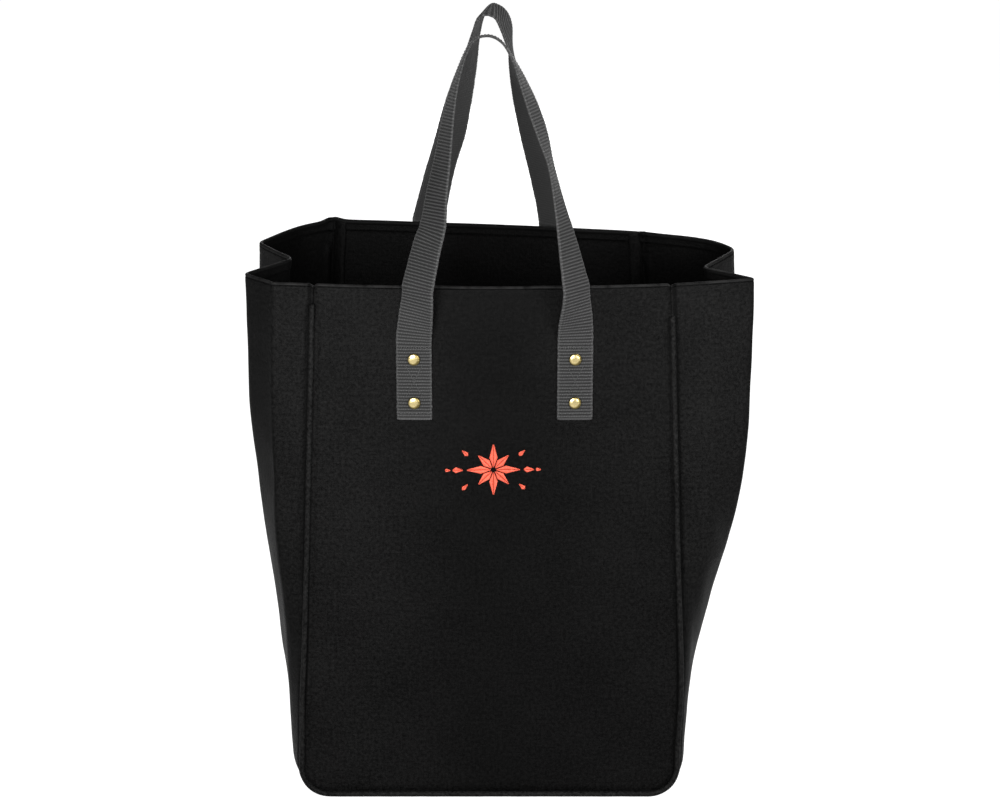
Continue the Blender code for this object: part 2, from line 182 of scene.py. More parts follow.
class Finish:
    def __init__(self, name, constants):
        self.material = bpy.data.materials.new(name)
        self.material.use_nodes = True
        self.nodes = self.material.node_tree.nodes
        self.shader = self.nodes["Principled BSDF"]
        for socket, value in constants.items():
            self.shader.inputs[socket].default_value = value

    def node(self, kind, settings, values, output=0):
        made = self.nodes.new(kind)
        for setting, value in settings.items():
            setattr(made, setting, value)
        for socket, value in values.items():
            self.fill(made.inputs[socket], value)
        return Signal(self, made.outputs[output])

    def fill(self, socket, value):
        if isinstance(value, Signal):
            self.material.node_tree.links.new(value.socket, socket)
        else:
            socket.default_value = value

    def feed(self, **signals):
        for name, value in signals.items():
            words = "".join(" " + letter if letter.isupper() else letter for letter in name)
            self.fill(self.shader.inputs[words.strip().title()], value)

    def map(self, layer):  # the two coordinates of a UV map as values
        uv = self.node("ShaderNodeUVMap", {"uv_map": layer}, {})
        split = self.node("ShaderNodeSeparateXYZ", {}, {0: uv})
        return split, Signal(self, split.socket.node.outputs[1])

    def place(self, across, along, height=0.0):
        return self.node("ShaderNodeCombineXYZ", {}, {0: across, 1: along, 2: height})

    def grain(self, place, scale, detail, roughness=0.5):
        return self.node(
            "ShaderNodeTexNoise",
            {"noise_dimensions": "3D"},
            {"Vector": place, "Scale": scale, "Detail": detail, "Roughness": roughness},
        )

    def blend(self, share, first, second):
        return self.node(
            "ShaderNodeMix", {"data_type": "RGBA"}, {0: share, 6: first, 7: second}, output=2
        )

    def relief(self, height, depth, strength, under=None):
        values = {"Strength": strength, "Distance": depth, "Height": height}
        if under is not None:
            values["Normal"] = under
        return self.node("ShaderNodeBump", {}, values)


def grey(level, warmth=0.0):
    return (level * (1.0 + warmth), level, level * (1.0 - warmth), 1.0)


canvasLook = {
    "threadPitch": 0.00085,  # one thread of the weave
    "slubScale": 900.0,  # noise waves in a metre
    "speckScale": 620.0,
    "tuftScale": 330.0,
    "driftScale": 160.0,
    "rubScale": 90.0,
    "swellScale": 45.0,
    "cloudScale": 14.0,
    "slubStretch": 0.05,  # slubs run along their thread
    "slubs": 0.9,  # share in the weave, beside the checks
    "checks": 0.5,
    "drift": 0.9,  # radians by which the threads wander
    # how much each of them pales the cloth
    "weave": 0.25,
    "specks": 1.00,
    "tufts": 0.90,
    "clouds": 0.45,
    "level": 0.98,  # taken off their sum
    "fullShade": 0.95,  # the sum above that level at which the cloth is palest
    "rub": 0.80,  # handling pales the edge of the rim
    "rubWidth": 0.0006,
    "rubPatches": (0.30, 0.62),
    "holes": 0.85,  # painted shade along the stitched groove under the hem
    "grooveShadeWidth": (0.0002, 0.0009),  # dark up to the first distance, gone at the second
    "seamShade": 0.95,  # beside the seams
    "seamShadeAt": 0.0020,
    "seamShadeWidth": (0.0006, 0.0020),
    # depth and strength of the relief
    "weaveRelief": (0.00014, 0.75),
    "tuftRelief": (0.0007, 0.45),
    "swells": 1.5,  # share in the relief, beside the tufts
    "dark": grey(0.0003),
    "light": grey(0.0046, 0.01),
    # painted highlight: the round piping is the same cloth, made paler as if it caught more light
    "piping": grey(0.0080, 0.01),
    "worn": grey(0.008, 0.01),
    "roughness": (0.42, 0.60),
    "specular": 0.025,
    "sheen": 0.003,
    "sheenTint": (0.80, 0.80, 0.82, 1.0),
}
noEdge = (0.01, 0.03)  # a place far from any seam and rim


def canvasFinish(name, bias=False):
    look = canvasLook
    finish = Finish(
        name,
        {
            "Specular IOR Level": look["specular"],
            "Sheen Weight": look["sheen"],
            "Sheen Roughness": 0.40,
            "Sheen Tint": look["sheenTint"],
        },
    )
    across, along = finish.map("cloth")
    fromSeam, fromRim = finish.map("edges")
    if bias:  # piping strips are cut on the slant
        across, along = (across + along) * sqrt(0.5), (across - along) * sqrt(0.5)
    turn = 2.0 * pi / look["threadPitch"]
    here = finish.place(across, along)
    # slubs: threads that are a little thicker or thinner along their length
    slow = look["slubStretch"]
    warp = finish.grain(finish.place(across, along * slow), look["slubScale"], 1.0)
    weft = finish.grain(finish.place(across * slow, along, 3.0), look["slubScale"], 1.0)
    drift = (finish.grain(here, look["driftScale"], 1.0) - 0.5) * look["drift"]
    checks = (across * turn + drift).sine() * (along * turn + drift).sine()
    weave = checks * look["checks"] + (warp + weft) * look["slubs"]
    clouds = finish.grain(here, look["cloudScale"], 3.0)
    specks = finish.grain(here, look["speckScale"], 2.0, 0.7)
    tufts = finish.grain(here, look["tuftScale"], 1.0)  # a few threads that stand up together
    paleness = weave * look["weave"] + specks * look["specks"]
    paleness = paleness + tufts * look["tufts"] + clouds * look["clouds"]
    shade = (paleness - look["level"]).smooth(0.0, look["fullShade"])
    rub = (1.0 - fromRim.smooth(0.0, look["rubWidth"])) * look["rub"]
    rub = rub * finish.grain(here, look["rubScale"], 2.0).smooth(*look["rubPatches"])
    # painted shade in the stitched groove
    holes = 1.0 - abs(fromRim - hem["stitchLine"]).smooth(*look["grooveShadeWidth"])
    seamShade = 1.0 - abs(fromSeam - look["seamShadeAt"]).smooth(*look["seamShadeWidth"])
    if not bias:  # painted light and shade: the cloth is paler where more light falls and darker where it lies in shade, most of all on the inner faces
        side, _ = finish.map("side")
        paintedLightOutside, paintedLightInside = finish.map("dust")
        shade = shade * (paintedLightOutside * side + paintedLightInside * (1.0 - side))
        rub = rub * side
    # the piping's paler colour is a painted highlight
    colour = finish.blend(shade, look["dark"], look["piping"] if bias else look["light"])
    colour = finish.blend(rub, colour, look["worn"])
    colour = finish.blend(holes * look["holes"], colour, grey(0.001))
    colour = finish.blend(seamShade * look["seamShade"], colour, look["dark"])
    low, high = look["roughness"]
    swells = finish.grain(here, look["swellScale"], 3.0) * look["swells"]
    unevenCloth = finish.relief(tufts + swells, *look["tuftRelief"])
    finish.feed(
        baseColor=colour,
        roughness=(specks * 0.5 + clouds * 0.5) * (high - low) + low,
        normal=finish.relief(weave, *look["weaveRelief"], unevenCloth),
    )
    return finish.material


webbingLook = {
    "ribPitch": 0.00273,
    "dashPitch": 2.0 * pi / 4500.0,  # across the webbing
    "dashSlant": 2.4,  # radians over one rib
    "ribs": 0.40,  # share of each in the relief
    "dashes": 0.45,
    "fuzz": 0.35,
    "wanderScale": 210.0,  # noise waves in a metre
    "fuzzScale": 1500.0,
    "cloudScale": 40.0,
    "wander": 1.1,  # radians by which the ribs wander
    "relief": (0.00030, 0.85),  # depth and strength
    "shadow": grey(0.0045),
    "thread": grey(0.024),
    "lit": grey(0.052),
    # partly a plainer weave, partly painted shade on the inner face, turned from the light
    "inner": grey(0.020),
    "selvedge": grey(0.036),
}


def webbingFinish(name):
    look = webbingLook
    finish = Finish(
        name,
        {
            "Specular IOR Level": 0.12,
            "Sheen Weight": 0.04,
            "Sheen Roughness": 0.40,
            "Sheen Tint": grey(0.8),
        },
    )
    across, along = finish.map("cloth")
    fromSeam, _ = finish.map("edges")
    side, _ = finish.map("side")
    turn = 2.0 * pi / look["ribPitch"]
    here = finish.place(across, along)
    wander = (finish.grain(here, look["wanderScale"], 1.0) - 0.5) * look["wander"]
    ribs = (along * turn + wander + pi / 2.0).sine() * 0.5 + 0.5
    # each rib is a row of slanted dashes, set off by half a dash from the next row
    rows = along / look["ribPitch"] + 0.5
    row = rows.floor()
    lean = (rows - row) * look["dashSlant"] + row * pi
    dashTurn = 2.0 * pi / look["dashPitch"]
    dashes = (across * dashTurn + lean + wander * 1.5).sine() * 0.5 + 0.5
    fuzz = finish.grain(here, look["fuzzScale"], 2.0, 0.7)
    clouds = finish.grain(here, look["cloudScale"], 2.0)
    height = ribs * look["ribs"] + dashes * ribs * look["dashes"] + fuzz * look["fuzz"]
    shade = (height * 0.95 + clouds * 0.22 - 0.16).smooth(0.12, 0.90)
    colour = finish.blend(shade, look["shadow"], look["thread"])
    colour = finish.blend((dashes * ribs * fuzz).smooth(0.30, 0.70), colour, look["lit"])
    # the inner face: partly a plainer weave, partly painted shade
    colour = finish.blend((1.0 - side) * 0.50, colour, look["inner"])
    selvedge = 1.0 - fromSeam.smooth(0.0004, 0.0014)
    colour = finish.blend(selvedge * 0.30, colour, look["selvedge"])
    finish.feed(
        baseColor=colour,
        roughness=fuzz * 0.15 + 0.66,
        normal=finish.relief(height, *look["relief"]),
    )
    return finish.material


brassLook = {
    "bright": (0.52, 0.43, 0.21, 1.0),
    "tarnished": (0.28, 0.21, 0.08, 1.0),
    "tarnishAndShade": (0.070, 0.052, 0.014, 1.0),
    "rim": (0.0027, 0.0045),  # from the middle: where the dark rim, partly tarnish and partly painted shade, starts and where it is full
    "shadeAngle": 2.09,  # painted shade: turns the rim's wider side to the lower right, away from the light
    "shadeShift": 0.0009,
    "roundTurns": 250.0,  # radians round the head for a metre of its map
    "tarnishScale": 420.0,
    "relief": (0.00004, 0.4),
}


def brassFinish(name):
    look = brassLook
    finish = Finish(name, {"Specular IOR Level": 0.5})
    around, outward = finish.map("cloth")
    here = finish.node("ShaderNodeTexCoord", {}, {}, output=3)
    tarnish = finish.grain(here, look["tarnishScale"], 4.0, 0.6).smooth(0.35, 0.75)
    scratches = finish.grain(finish.place(around * 300.0, outward * 9000.0), 1.0, 2.0)
    # painted shade: the dark rim is made wider on the lower right
    tarnishAndShade = (around * look["roundTurns"] + look["shadeAngle"]).sine()
    rim = (outward + tarnishAndShade * look["shadeShift"]).smooth(*look["rim"])
    colour = finish.blend(tarnish * 0.45, look["bright"], look["tarnished"])
    colour = finish.blend(rim * 0.92, colour, look["tarnishAndShade"])
    finish.feed(
        baseColor=colour,
        metallic=1.0,
        roughness=tarnish * 0.12 + scratches * 0.08 + rim * 0.15 + 0.20,
        normal=finish.relief(scratches, *look["relief"]),
    )
    return finish.material


threadLook = {
    "greyThread": {"dark": grey(0.008), "light": grey(0.026), "sheen": 0.04, "gloss": 0.20},
    "blackThread": {"dark": grey(0.0002), "light": grey(0.0015), "sheen": 0.0, "gloss": 0.01},
    "coralThread": {
        "dark": (0.25, 0.022, 0.010, 1.0),
        "light": (0.48, 0.066, 0.030, 1.0),
        "sheen": 0.03,
        "gloss": 0.40,
    },
    "twist": 0.0012,  # length of one turn of the two plies
    "relief": (0.00006, 0.6),
}


def threadFinish(name):
    look = threadLook[name]
    finish = Finish(
        name,
        {
            "Specular IOR Level": look["gloss"],
            "Sheen Weight": look["sheen"],
            "Sheen Roughness": 0.35,
        },
    )
    across, along = finish.map("cloth")
    here = finish.node("ShaderNodeTexCoord", {}, {}, output=3)
    ply = (along * (2.0 * pi / threadLook["twist"]) + across * (2.0 * pi)).sine() * 0.5 + 0.5
    fibre = finish.grain(here, 2600.0, 2.0, 0.6)
    tone = finish.grain(here, 60.0, 2.0)
    shade = (ply * 0.45 + fibre * 0.55 + tone * 0.35 - 0.2).smooth(0.05, 0.85)
    finish.feed(
        baseColor=finish.blend(shade, look["dark"], look["light"]),
        roughness=fibre * 0.2 + 0.45,
        normal=finish.relief(ply * 0.6 + fibre * 0.4, *threadLook["relief"]),
    )
    return finish.material


def floorFinish(name):
    finish = Finish(
        name,
        {
            "Specular IOR Level": 0.1,
            "Emission Color": grey(1.0),
            "Emission Strength": studio["floorGlow"],
        },
    )
    here = finish.node("ShaderNodeTexCoord", {}, {}, output=3)
    cloud = finish.grain(here, 1.2, 2.0)
    finish.feed(
        baseColor=finish.blend(cloud, grey(0.24), grey(0.26)),
        roughness=cloud * 0.1 + 0.8,
    )
    return finish.material


canvas = canvasFinish("blackCanvas")
pipingCloth = canvasFinish("pipingCloth", bias=True)
webbing = webbingFinish("greyWebbing")
brass = brassFinish("agedBrass")
greyThread = threadFinish("greyThread")
blackThread = threadFinish("blackThread")
coralThread = threadFinish("coralThread")
print("materials made")


# mesh helpers


def flat(grid):
    return [value for row in grid for value in row]


def newPiece(name, verts, faces, finish, maps, stands):
    mesh = bpy.data.meshes.new(name)
    mesh.from_pydata(verts, [], faces)
    corners = [0] * len(mesh.loops)
    mesh.loops.foreach_get("vertex_index", corners)
    for layer, places in maps.items():
        values = flat([places[corner] for corner in corners])
        mesh.uv_layers.new(name=layer).data.foreach_set("uv", values)
    mesh.shade_smooth()
    mesh.materials.append(finish)
    piece = bpy.data.objects.new(name, mesh)
    bpy.context.scene.collection.objects.link(piece)
    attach(piece, "root")
    if stands:
        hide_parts(*stands)
    print(name, len(mesh.polygons), "faces")


def gridNormals(points):
    normals = []
    lastRow, lastColumn = len(points) - 1, len(points[0]) - 1
    for r, row in enumerate(points):
        above, below = points[min(r + 1, lastRow)], points[max(r - 1, 0)]
        normals.append(
            [
                (row[min(c + 1, lastColumn)] - row[max(c - 1, 0)])
                .cross(above[c] - below[c])
                .normalized()
                for c in range(lastColumn + 1)
            ]
        )
    return normals


def raised(points, relief):  # the grid moved along its normals by relief[row][column]
    normals = gridNormals(points)
    return [
        [point + normal * lift for point, normal, lift in zip(*rows)]
        for rows in zip(points, normals, relief)
    ]


# a cloth wall: outer grid, inner grid and a rounded edge all the way round;
# thickness and innerLift have one value for each row
def clothShell(name, outer, thickness, maps, finish, node, innerLift=None):
    rows, columns = len(outer), len(outer[0])
    count = rows * columns
    normals = flat(gridNormals(outer))
    depths = flat([[thick] * columns for thick in thickness])
    verts = flat(outer)
    inner = [point - normal * depth for point, normal, depth in zip(verts, normals, depths)]
    if innerLift:
        lifts = flat([[lift] * columns for lift in innerLift])
        inner = [point - normal * lift for point, normal, lift in zip(inner, normals, lifts)]
    verts += inner
    shown = [(1.0, 0.0)] * count + [(0.0, 0.0)] * count  # 1 on the outer face, 0 on the inner one
    faces = []
    for r in range(rows - 1):
        for c in range(columns - 1):
            a = r * columns + c
            b = a + columns
            faces.append((a, a + 1, b + 1, b))
            faces.append((count + a, count + b, count + b + 1, count + a + 1))
    loop = [(0, c) for c in range(columns)]
    loop += [(r, columns - 1) for r in range(1, rows)]
    loop += [(rows - 1, c) for c in range(columns - 2, -1, -1)]
    loop += [(r, 0) for r in range(rows - 2, 0, -1)]
    owners = [r * columns + c for r, c in loop]
    rings = [owners]
    for step in (1, 2, 3):
        angle = pi * step / 4.0
        rings.append([len(verts) + k for k in range(len(loop))])
        for r, c in loop:
            index = r * columns + c
            away = Vector()
            if r in (0, rows - 1):
                away += (outer[r][c] - outer[1 if r == 0 else rows - 2][c]).normalized()
            if c in (0, columns - 1):
                away += (outer[r][c] - outer[r][1 if c == 0 else columns - 2]).normalized()
            middle = (verts[index] + verts[count + index]) / 2.0
            half = depths[index] / 2.0
            bulge = away.normalized() * (half * sin(angle))
            verts.append(middle + normals[index] * (half * cos(angle)) + bulge)
            shown.append((1.0, 0.0))
    rings.append([count + owner for owner in owners])
    for first, second in zip(rings, rings[1:]):
        for i in range(len(loop)):
            j = (i + 1) % len(loop)
            faces.append((first[i], second[i], second[j], first[j]))
    layers = {"side": shown}
    for layer, grid in maps.items():
        places = flat(grid)
        layers[layer] = places * 2 + [places[owner] for owner in owners] * 3
    for point in verts:
        point.z = max(point.z, 0.0)  # the base lies flat on the floor
    newPiece(name, verts, faces, finish, layers, (node,))


# a tube or a fin: the same ring of points carried along a line
def loft(name, rings, finish, maps, stands):
    around = len(rings[0])
    verts = flat(rings)
    faces = []
    for r in range(len(rings) - 1):
        for k in range(around):
            n = (k + 1) % around
            a, b = r * around, (r + 1) * around
            faces.append((a + k, a + n, b + n, b + k))
    faces.append(tuple(range(around - 1, -1, -1)))
    faces.append(tuple((len(rings) - 1) * around + k for k in range(around)))
    newPiece(name, verts, faces, finish, maps, stands)


# the bag's surfaces, as in its solids but for a few millimetres at the foot and the rear corners


def squareHalf(panel, height):  # half the width, as if the bottom corners were square
    return mix(bag["baseWidth"], panel["mouthWidth"], height / bag["height"]) / 2.0


def halfWidth(panel, height):
    straight, radius = squareHalf(panel, height), bag["cornerRadius"]
    if height >= radius:
        return straight
    return straight - radius + sqrt(max(radius**2 - (radius - height) ** 2, 0.0))


def panelMiddle(panel, height):
    foot = bag["footShift"] * (1.0 - ease(height / bag["footHeight"]))
    return panel["sway"] * height / bag["height"] + foot


def panelPoint(panel, x, height):
    share = height / bag["height"]
    across = (x - panelMiddle(panel, height)) / squareHalf(panel, height)
    lean = mix(panel["leanLeft"], panel["leanRight"], (across + 1.0) / 2.0) * share
    bow = panel["bow"] * share**2 * (1.0 - across**2)
    return Vector((x, panel["facing"] * (bag["baseDepth"] / 2.0 - lean + bow), height))


def panelNormal(panel, x, height):
    step = bag["cloth"]
    along = panelPoint(panel, x + step, height) - panelPoint(panel, x - step, height)
    up = panelPoint(panel, x, height + step) - panelPoint(panel, x, height - step)
    return (along.cross(up) * -panel["facing"]).normalized()


def seamPoint(panel, side, height):
    return panelPoint(panel, panelMiddle(panel, height) + side * halfWidth(panel, height), height)


def sideHeights(spacing, arcSteps, drops):  # from the base up; drops are those near the rim
    radius = bag["cornerRadius"]
    heights = [radius * (1.0 - cos(pi / 2.0 * step / arcSteps)) for step in range(arcSteps)]
    dense = [bag["height"] - drop for drop in drops]
    count = round((dense[0] - radius) / spacing)
    heights += [mix(radius, dense[0], step / count) for step in range(count)]
    return heights + dense


def clothThickness(fromRim):
    return bag["cloth"] + hem["extra"] * (1.0 - ease((fromRim - hem["depth"]) / hem["extraFade"]))


def hemLift(fromRim):  # how the folded hem shows on the outer face
    edge = hem["edge"] * (1.0 - ease((fromRim - hem["edgeEnd"]) / hem["edgeFade"]))
    return edge - hem["groove"] * bump(fromRim - hem["stitchLine"], hem["grooveWidth"])


def seamCrease(fromSeam, fromRim):
    above = 1.0 - ease((fromRim - hem["creaseEnd"]) / hem["creaseFade"])
    return -hem["crease"] * bump(fromSeam, hem["creaseWidth"]) * above


def rimShift(panel, side, fromSeam, fromRim):  # room for the rounded edge, and the dip at a seam
    rise, width = hem[panel["name"]][side]
    room = -clothThickness(0.0) / 2.0 * (1.0 - ease(fromRim / hem["roomFade"]))
    dip = rise * bump(fromSeam, width) * (1.0 - ease(fromRim / hem["dipFade"]))
    return Vector((0.0, 0.0, room + dip))


seamPull = {
    "pucker": 0.00022,  # small waves that the stitches pull up beside a seam
    "puckerWidth": 0.006,
    "wander": 0.006,  # how far a wave may lie from its even place
    "wanderSize": 0.05,
    "start": 0.026,  # below the rim; from there on the piping pulls the cloth down
    "startFade": 0.004,
    "panel": {"pitch": 0.0125, "dip": 0.0008, "dipAt": 0.0038, "dipWidth": 0.0022},
    "gusset": {"pitch": 0.0115, "dip": 0.0020, "dipAt": 0.0032, "dipWidth": 0.0018},
}


def withSeams(lift, kind, place, run, seed, fromSeam, fromRim):  # adds what seams and hem do
    pull = seamPull[kind]
    even = run + seamPull["wander"] * unevenness(place, seamPull["wanderSize"], seed)
    wave = sin(2.0 * pi * even / pull["pitch"])
    lift += seamPull["pucker"] * wave * exp(-fromSeam / seamPull["puckerWidth"])
    below = ease((fromRim - seamPull["start"]) / seamPull["startFade"])
    lift -= pull["dip"] * bump(fromSeam - pull["dipAt"], pull["dipWidth"]) * below
    return lift + hemLift(fromRim) + seamCrease(fromSeam, fromRim)


panelFolds = {
    "columns": 104,
    "spacing": 0.0032,  # between rows
    "arcSteps": 14,
    "dents": ((0.0011, 0.085), (0.00035, 0.028)),  # height and width of soft unevenness
    "seeds": {"front": 3.0, "back": 8.0},
    "seamFade": 0.030,  # the folds and dents fade out toward seam and foot
    "footFade": 0.03,
    "footEnd": 0.004,
    "hidden": (0.0003, 0.0026),  # the piping hides that much of the seam's shade, low and high
    # soft ridges and hollows: x and height of both ends, width, height
    "front": [
        ((-0.050, 0.290), (-0.150, 0.075), 0.040, 0.0022),
        ((0.030, 0.250), (0.125, 0.060), 0.050, -0.0012),
        ((-0.120, 0.440), (-0.115, 0.300), 0.030, 0.0010),
        ((-0.043, 0.470), (-0.040, 0.395), 0.012, -0.0011),
        ((0.044, 0.470), (0.038, 0.400), 0.012, -0.0011),
        ((0.100, 0.440), (0.135, 0.250), 0.026, 0.0010),
        ((-0.090, 0.030), (0.080, 0.020), 0.022, -0.0009),
    ],
    "back": [
        ((0.050, 0.300), (0.140, 0.090), 0.045, 0.0018),
        ((-0.060, 0.240), (-0.130, 0.070), 0.040, -0.0012),
        ((0.000, 0.420), (-0.020, 0.280), 0.050, 0.0009),
    ],
}


def distanceToRun(place, start, end):
    run = end - start
    share = min(max((place - start).dot(run) / run.length_squared, 0.0), 1.0)
    return (place - start - run * share).length


def panelRelief(panel, x, height, fromSeam, fromRim):
    spot, place = Vector((x, height)), (x, height, 0.0)
    seed = panelFolds["seeds"][panel["name"]]
    lift = 0.0
    for start, end, width, rise in panelFolds[panel["name"]]:
        lift += rise * bump(distanceToRun(spot, Vector(start), Vector(end)), width)
    for rise, width in panelFolds["dents"]:
        lift += rise * unevenness(place, width, seed)
    foot = ease((height + panelFolds["footEnd"]) / panelFolds["footFade"])
    lift *= ease(fromSeam / panelFolds["seamFade"]) * foot
    return withSeams(lift, "panel", place, height, seed, fromSeam, fromRim)


dust = {  # painted light and shade, as shares of the full paleness
    "middle": 0.38,  # down the middle of a panel
    "middleAt": 0.004,
    "middleWidth": 0.080,
    "foot": 0.75,  # how strongly the middle differs at the base
    "footFade": 0.35,
    "right": 0.78,  # on a panel's right side below
    "rightFrom": 0.02,
    "rightWidth": 0.07,
    "rightAbove": 0.4,  # share of it that is left above, where it fades in heightFade
    "rightHeight": 0.24,
    "heightFade": 0.14,
    "inside": 0.30,
    "wingEdge": 0.62,  # on the outermost strip of the left side
    "sides": 0.55,  # round the corners
}


# painted shade down the middle of a panel and on its right side below
def panelPaintedLight(x, height):
    middle = (1.0 - dust["middle"]) * bump(x - dust["middleAt"], dust["middleWidth"])
    middle = 1.0 - middle * mix(dust["foot"], 1.0, ease(height / dust["footFade"]))
    below = mix(1.0, dust["rightAbove"], ease((height - dust["rightHeight"]) / dust["heightFade"]))
    rightward = ease((x - dust["rightFrom"]) / dust["rightWidth"])
    return middle * mix(1.0, dust["right"], rightward * below)


def emptyGrids():
    return {grid: [] for grid in ("points", "relief", "cloth", "edges", "dust")}


def addRow(grids, row):
    for grid, values in row.items():
        grids[grid].append(values)


def clothWall(name, grids, thickness, node):
    points = raised(grids["points"], grids["relief"])
    maps = {layer: grids[layer] for layer in ("cloth", "edges", "dust")}
    clothShell(name, points, thickness, maps, canvas, node)


def makePanel(name, panel, node):
    count, facing = panelFolds["columns"], panel["facing"]
    # shares across the panel, closer together beside the seams
    shares = [mix(step / count, ease(step / count), 0.55) for step in range(count + 1)]
    grids, thickness = emptyGrids(), []
    for height in sideHeights(panelFolds["spacing"], panelFolds["arcSteps"], hem["rows"]):
        left, right = seamPoint(panel, -1.0, height).x, seamPoint(panel, 1.0, height).x
        start, end = (left, right) if facing < 0.0 else (right, left)
        fromRim = bag["height"] - height
        hidden = mix(*panelFolds["hidden"], ease((height - 0.10) / 0.25))
        row = emptyGrids()
        for share in shares:
            x = mix(start, end, share)
            gap = min(x - left, right - x, height + 0.0001)
            side = -1.0 if x - left < right - x else 1.0
            shift = rimShift(panel, side, gap, fromRim)
            row["points"].append(panelPoint(panel, x, height) + shift)
            row["relief"].append(panelRelief(panel, x, height, gap, fromRim))
            row["cloth"].append((x, height))
            row["edges"].append((gap + hidden, fromRim))
            row["dust"].append((panelPaintedLight(x * -facing, height), dust["inside"]))
        addRow(grids, row)
        thickness.append(clothThickness(fromRim))
    clothWall(name, grids, thickness, node)


makePanel("frontPanelCloth", frontPanel, "front_panel")
makePanel("backPanelCloth", backPanel, "back_panel")

gusset = {
    "reach": {-1.0: 0.0615, 1.0: 0.0715},
    "roundings": {  # of the five creases at the mouth
        -1.0: (0.004, 0.006, 0.006, 0.009, 0.030),
        1.0: (0.006, 0.006, 0.006, 0.012, 0.030),
    },
    "baseRounding": 0.013,
    "bendShare": 0.42,  # of a run between two creases that a rounding may take
    "spacing": 0.0040,  # between rows
    "arcSteps": 12,
    "runSteps": 9,
    "bendSteps": 4,
    "crowding": 1.6,  # points lie closer together beside the seams
    "pressed": 0.0009,  # how sharply the left side's first fold stands out
    "dents": ((0.0010, 0.070, 5.0), (0.0003, 0.024, 2.0)),  # height, width and seed
    "seamFade": 0.020,  # folds and dents fade out toward the seams, and partly toward the base
    "footShare": 0.25,
    "footFade": 0.05,
    "seamShade": 0.8,  # less than 1 widens the shade beside the seams
    # height, then share of depth and share of reach for the front crease, the front corner,
    # the tip of the inward fold, the rear corner and the rear crease
    "folds": {
        -1.0: [
            (0.00, 0.10, 0.10, 0.30, 0.115, 0.50, 0.11, 0.70, 0.105, 0.90, 0.09),
            (0.10, 0.09, 0.15, 0.27, 0.20, 0.50, 0.21, 0.72, 0.20, 0.91, 0.15),
            (0.22, 0.07, 0.23, 0.25, 0.335, 0.49, 0.40, 0.73, 0.35, 0.92, 0.22),
            (0.36, 0.05, 0.305, 0.22, 0.468, 0.47, 0.52, 0.72, 0.465, 0.92, 0.28),
            (0.50, 0.03, 0.41, 0.19, 0.655, 0.45, 0.56, 0.70, 0.63, 0.91, 0.35),
            (0.62, 0.02, 0.47, 0.17, 0.79, 0.43, 0.53, 0.68, 0.77, 0.90, 0.40),
            (0.76, 0.015, 0.52, 0.155, 0.92, 0.41, 0.49, 0.66, 0.90, 0.90, 0.44),
            (0.90, 0.015, 0.54, 0.15, 0.97, 0.39, 0.44, 0.64, 0.97, 0.90, 0.46),
            (1.00, 0.015, 0.55, 0.146, 1.00, 0.375, 0.42, 0.615, 0.985, 0.90, 0.47),
        ],
        1.0: [
            (0.00, 0.08, 0.07, 0.28, 0.09, 0.50, 0.09, 0.72, 0.09, 0.92, 0.07),
            (0.10, 0.07, 0.10, 0.26, 0.13, 0.49, 0.15, 0.74, 0.14, 0.93, 0.11),
            (0.22, 0.06, 0.14, 0.22, 0.22, 0.46, 0.29, 0.75, 0.27, 0.92, 0.18),
            (0.36, 0.04, 0.23, 0.17, 0.43, 0.42, 0.48, 0.74, 0.45, 0.90, 0.30),
            (0.50, 0.02, 0.35, 0.13, 0.69, 0.38, 0.59, 0.70, 0.66, 0.87, 0.45),
            (0.62, 0.015, 0.43, 0.10, 0.85, 0.36, 0.59, 0.67, 0.83, 0.85, 0.56),
            (0.76, 0.015, 0.47, 0.075, 0.95, 0.33, 0.56, 0.64, 0.94, 0.84, 0.66),
            (0.90, 0.015, 0.49, 0.055, 1.005, 0.30, 0.53, 0.61, 1.01, 0.83, 0.74),
            (1.00, 0.02, 0.49, 0.05, 1.03, 0.284, 0.51, 0.60, 1.03, 0.82, 0.78),
        ],
    },
    # soft pulls in the wings: side, depth share and height of both ends, width, rise
    "pulls": [
        (1.0, (0.02, 0.235), (0.10, 0.125), 0.010, -0.0016),
        (1.0, (0.03, 0.290), (0.16, 0.215), 0.012, 0.0018),
        (1.0, (0.25, 0.330), (0.40, 0.180), 0.018, 0.0015),
        (-1.0, (0.10, 0.260), (0.25, 0.120), 0.018, 0.0016),
        (-1.0, (0.45, 0.220), (0.60, 0.080), 0.020, -0.0018),
        (-1.0, (0.65, 0.320), (0.80, 0.180), 0.018, 0.0016),
        (1.0, (0.60, 0.260), (0.75, 0.100), 0.020, -0.0018),
    ],
}


def seamStations(spacing, arcSteps, drops):  # down the left side, over the base, up the right side
    places, frontLine, backLine = [], [], []
    heights = sideHeights(spacing, arcSteps, drops)
    for side in (-1.0, 1.0):
        for height in reversed(heights) if side < 0.0 else heights:
            swell = 1.0 - max(1.0 - height / bag["cornerRadius"], 0.0) ** 3
            places.append((side, height, swell))
            frontLine.append(seamPoint(frontPanel, side, height))
            backLine.append(seamPoint(backPanel, side, height))
        if side < 0.0:
            left, right = frontLine[-1].x, seamPoint(frontPanel, 1.0, 0.0).x
            steps = round((right - left) / spacing)
            for step in range(1, steps):
                x = mix(left, right, step / steps)
                places.append((side, 0.0, 0.0))
                frontLine.append(panelPoint(frontPanel, x, 0.0))
                backLine.append(panelPoint(backPanel, x, 0.0))
    stations, run, last = [], 0.0, len(places) - 1
    for index, (side, height, swell) in enumerate(places):
        before, after = max(index - 1, 0), min(index + 1, last)
        run += (frontLine[index] - frontLine[before]).length
        along = (frontLine[after] - frontLine[before]) + (backLine[after] - backLine[before])
        stations.append(
            {
                "front": frontLine[index],
                "back": backLine[index],
                "side": side,
                "height": height,
                "swell": swell,
                "along": along.normalized(),
                "run": run,
            }
        )
    return stations


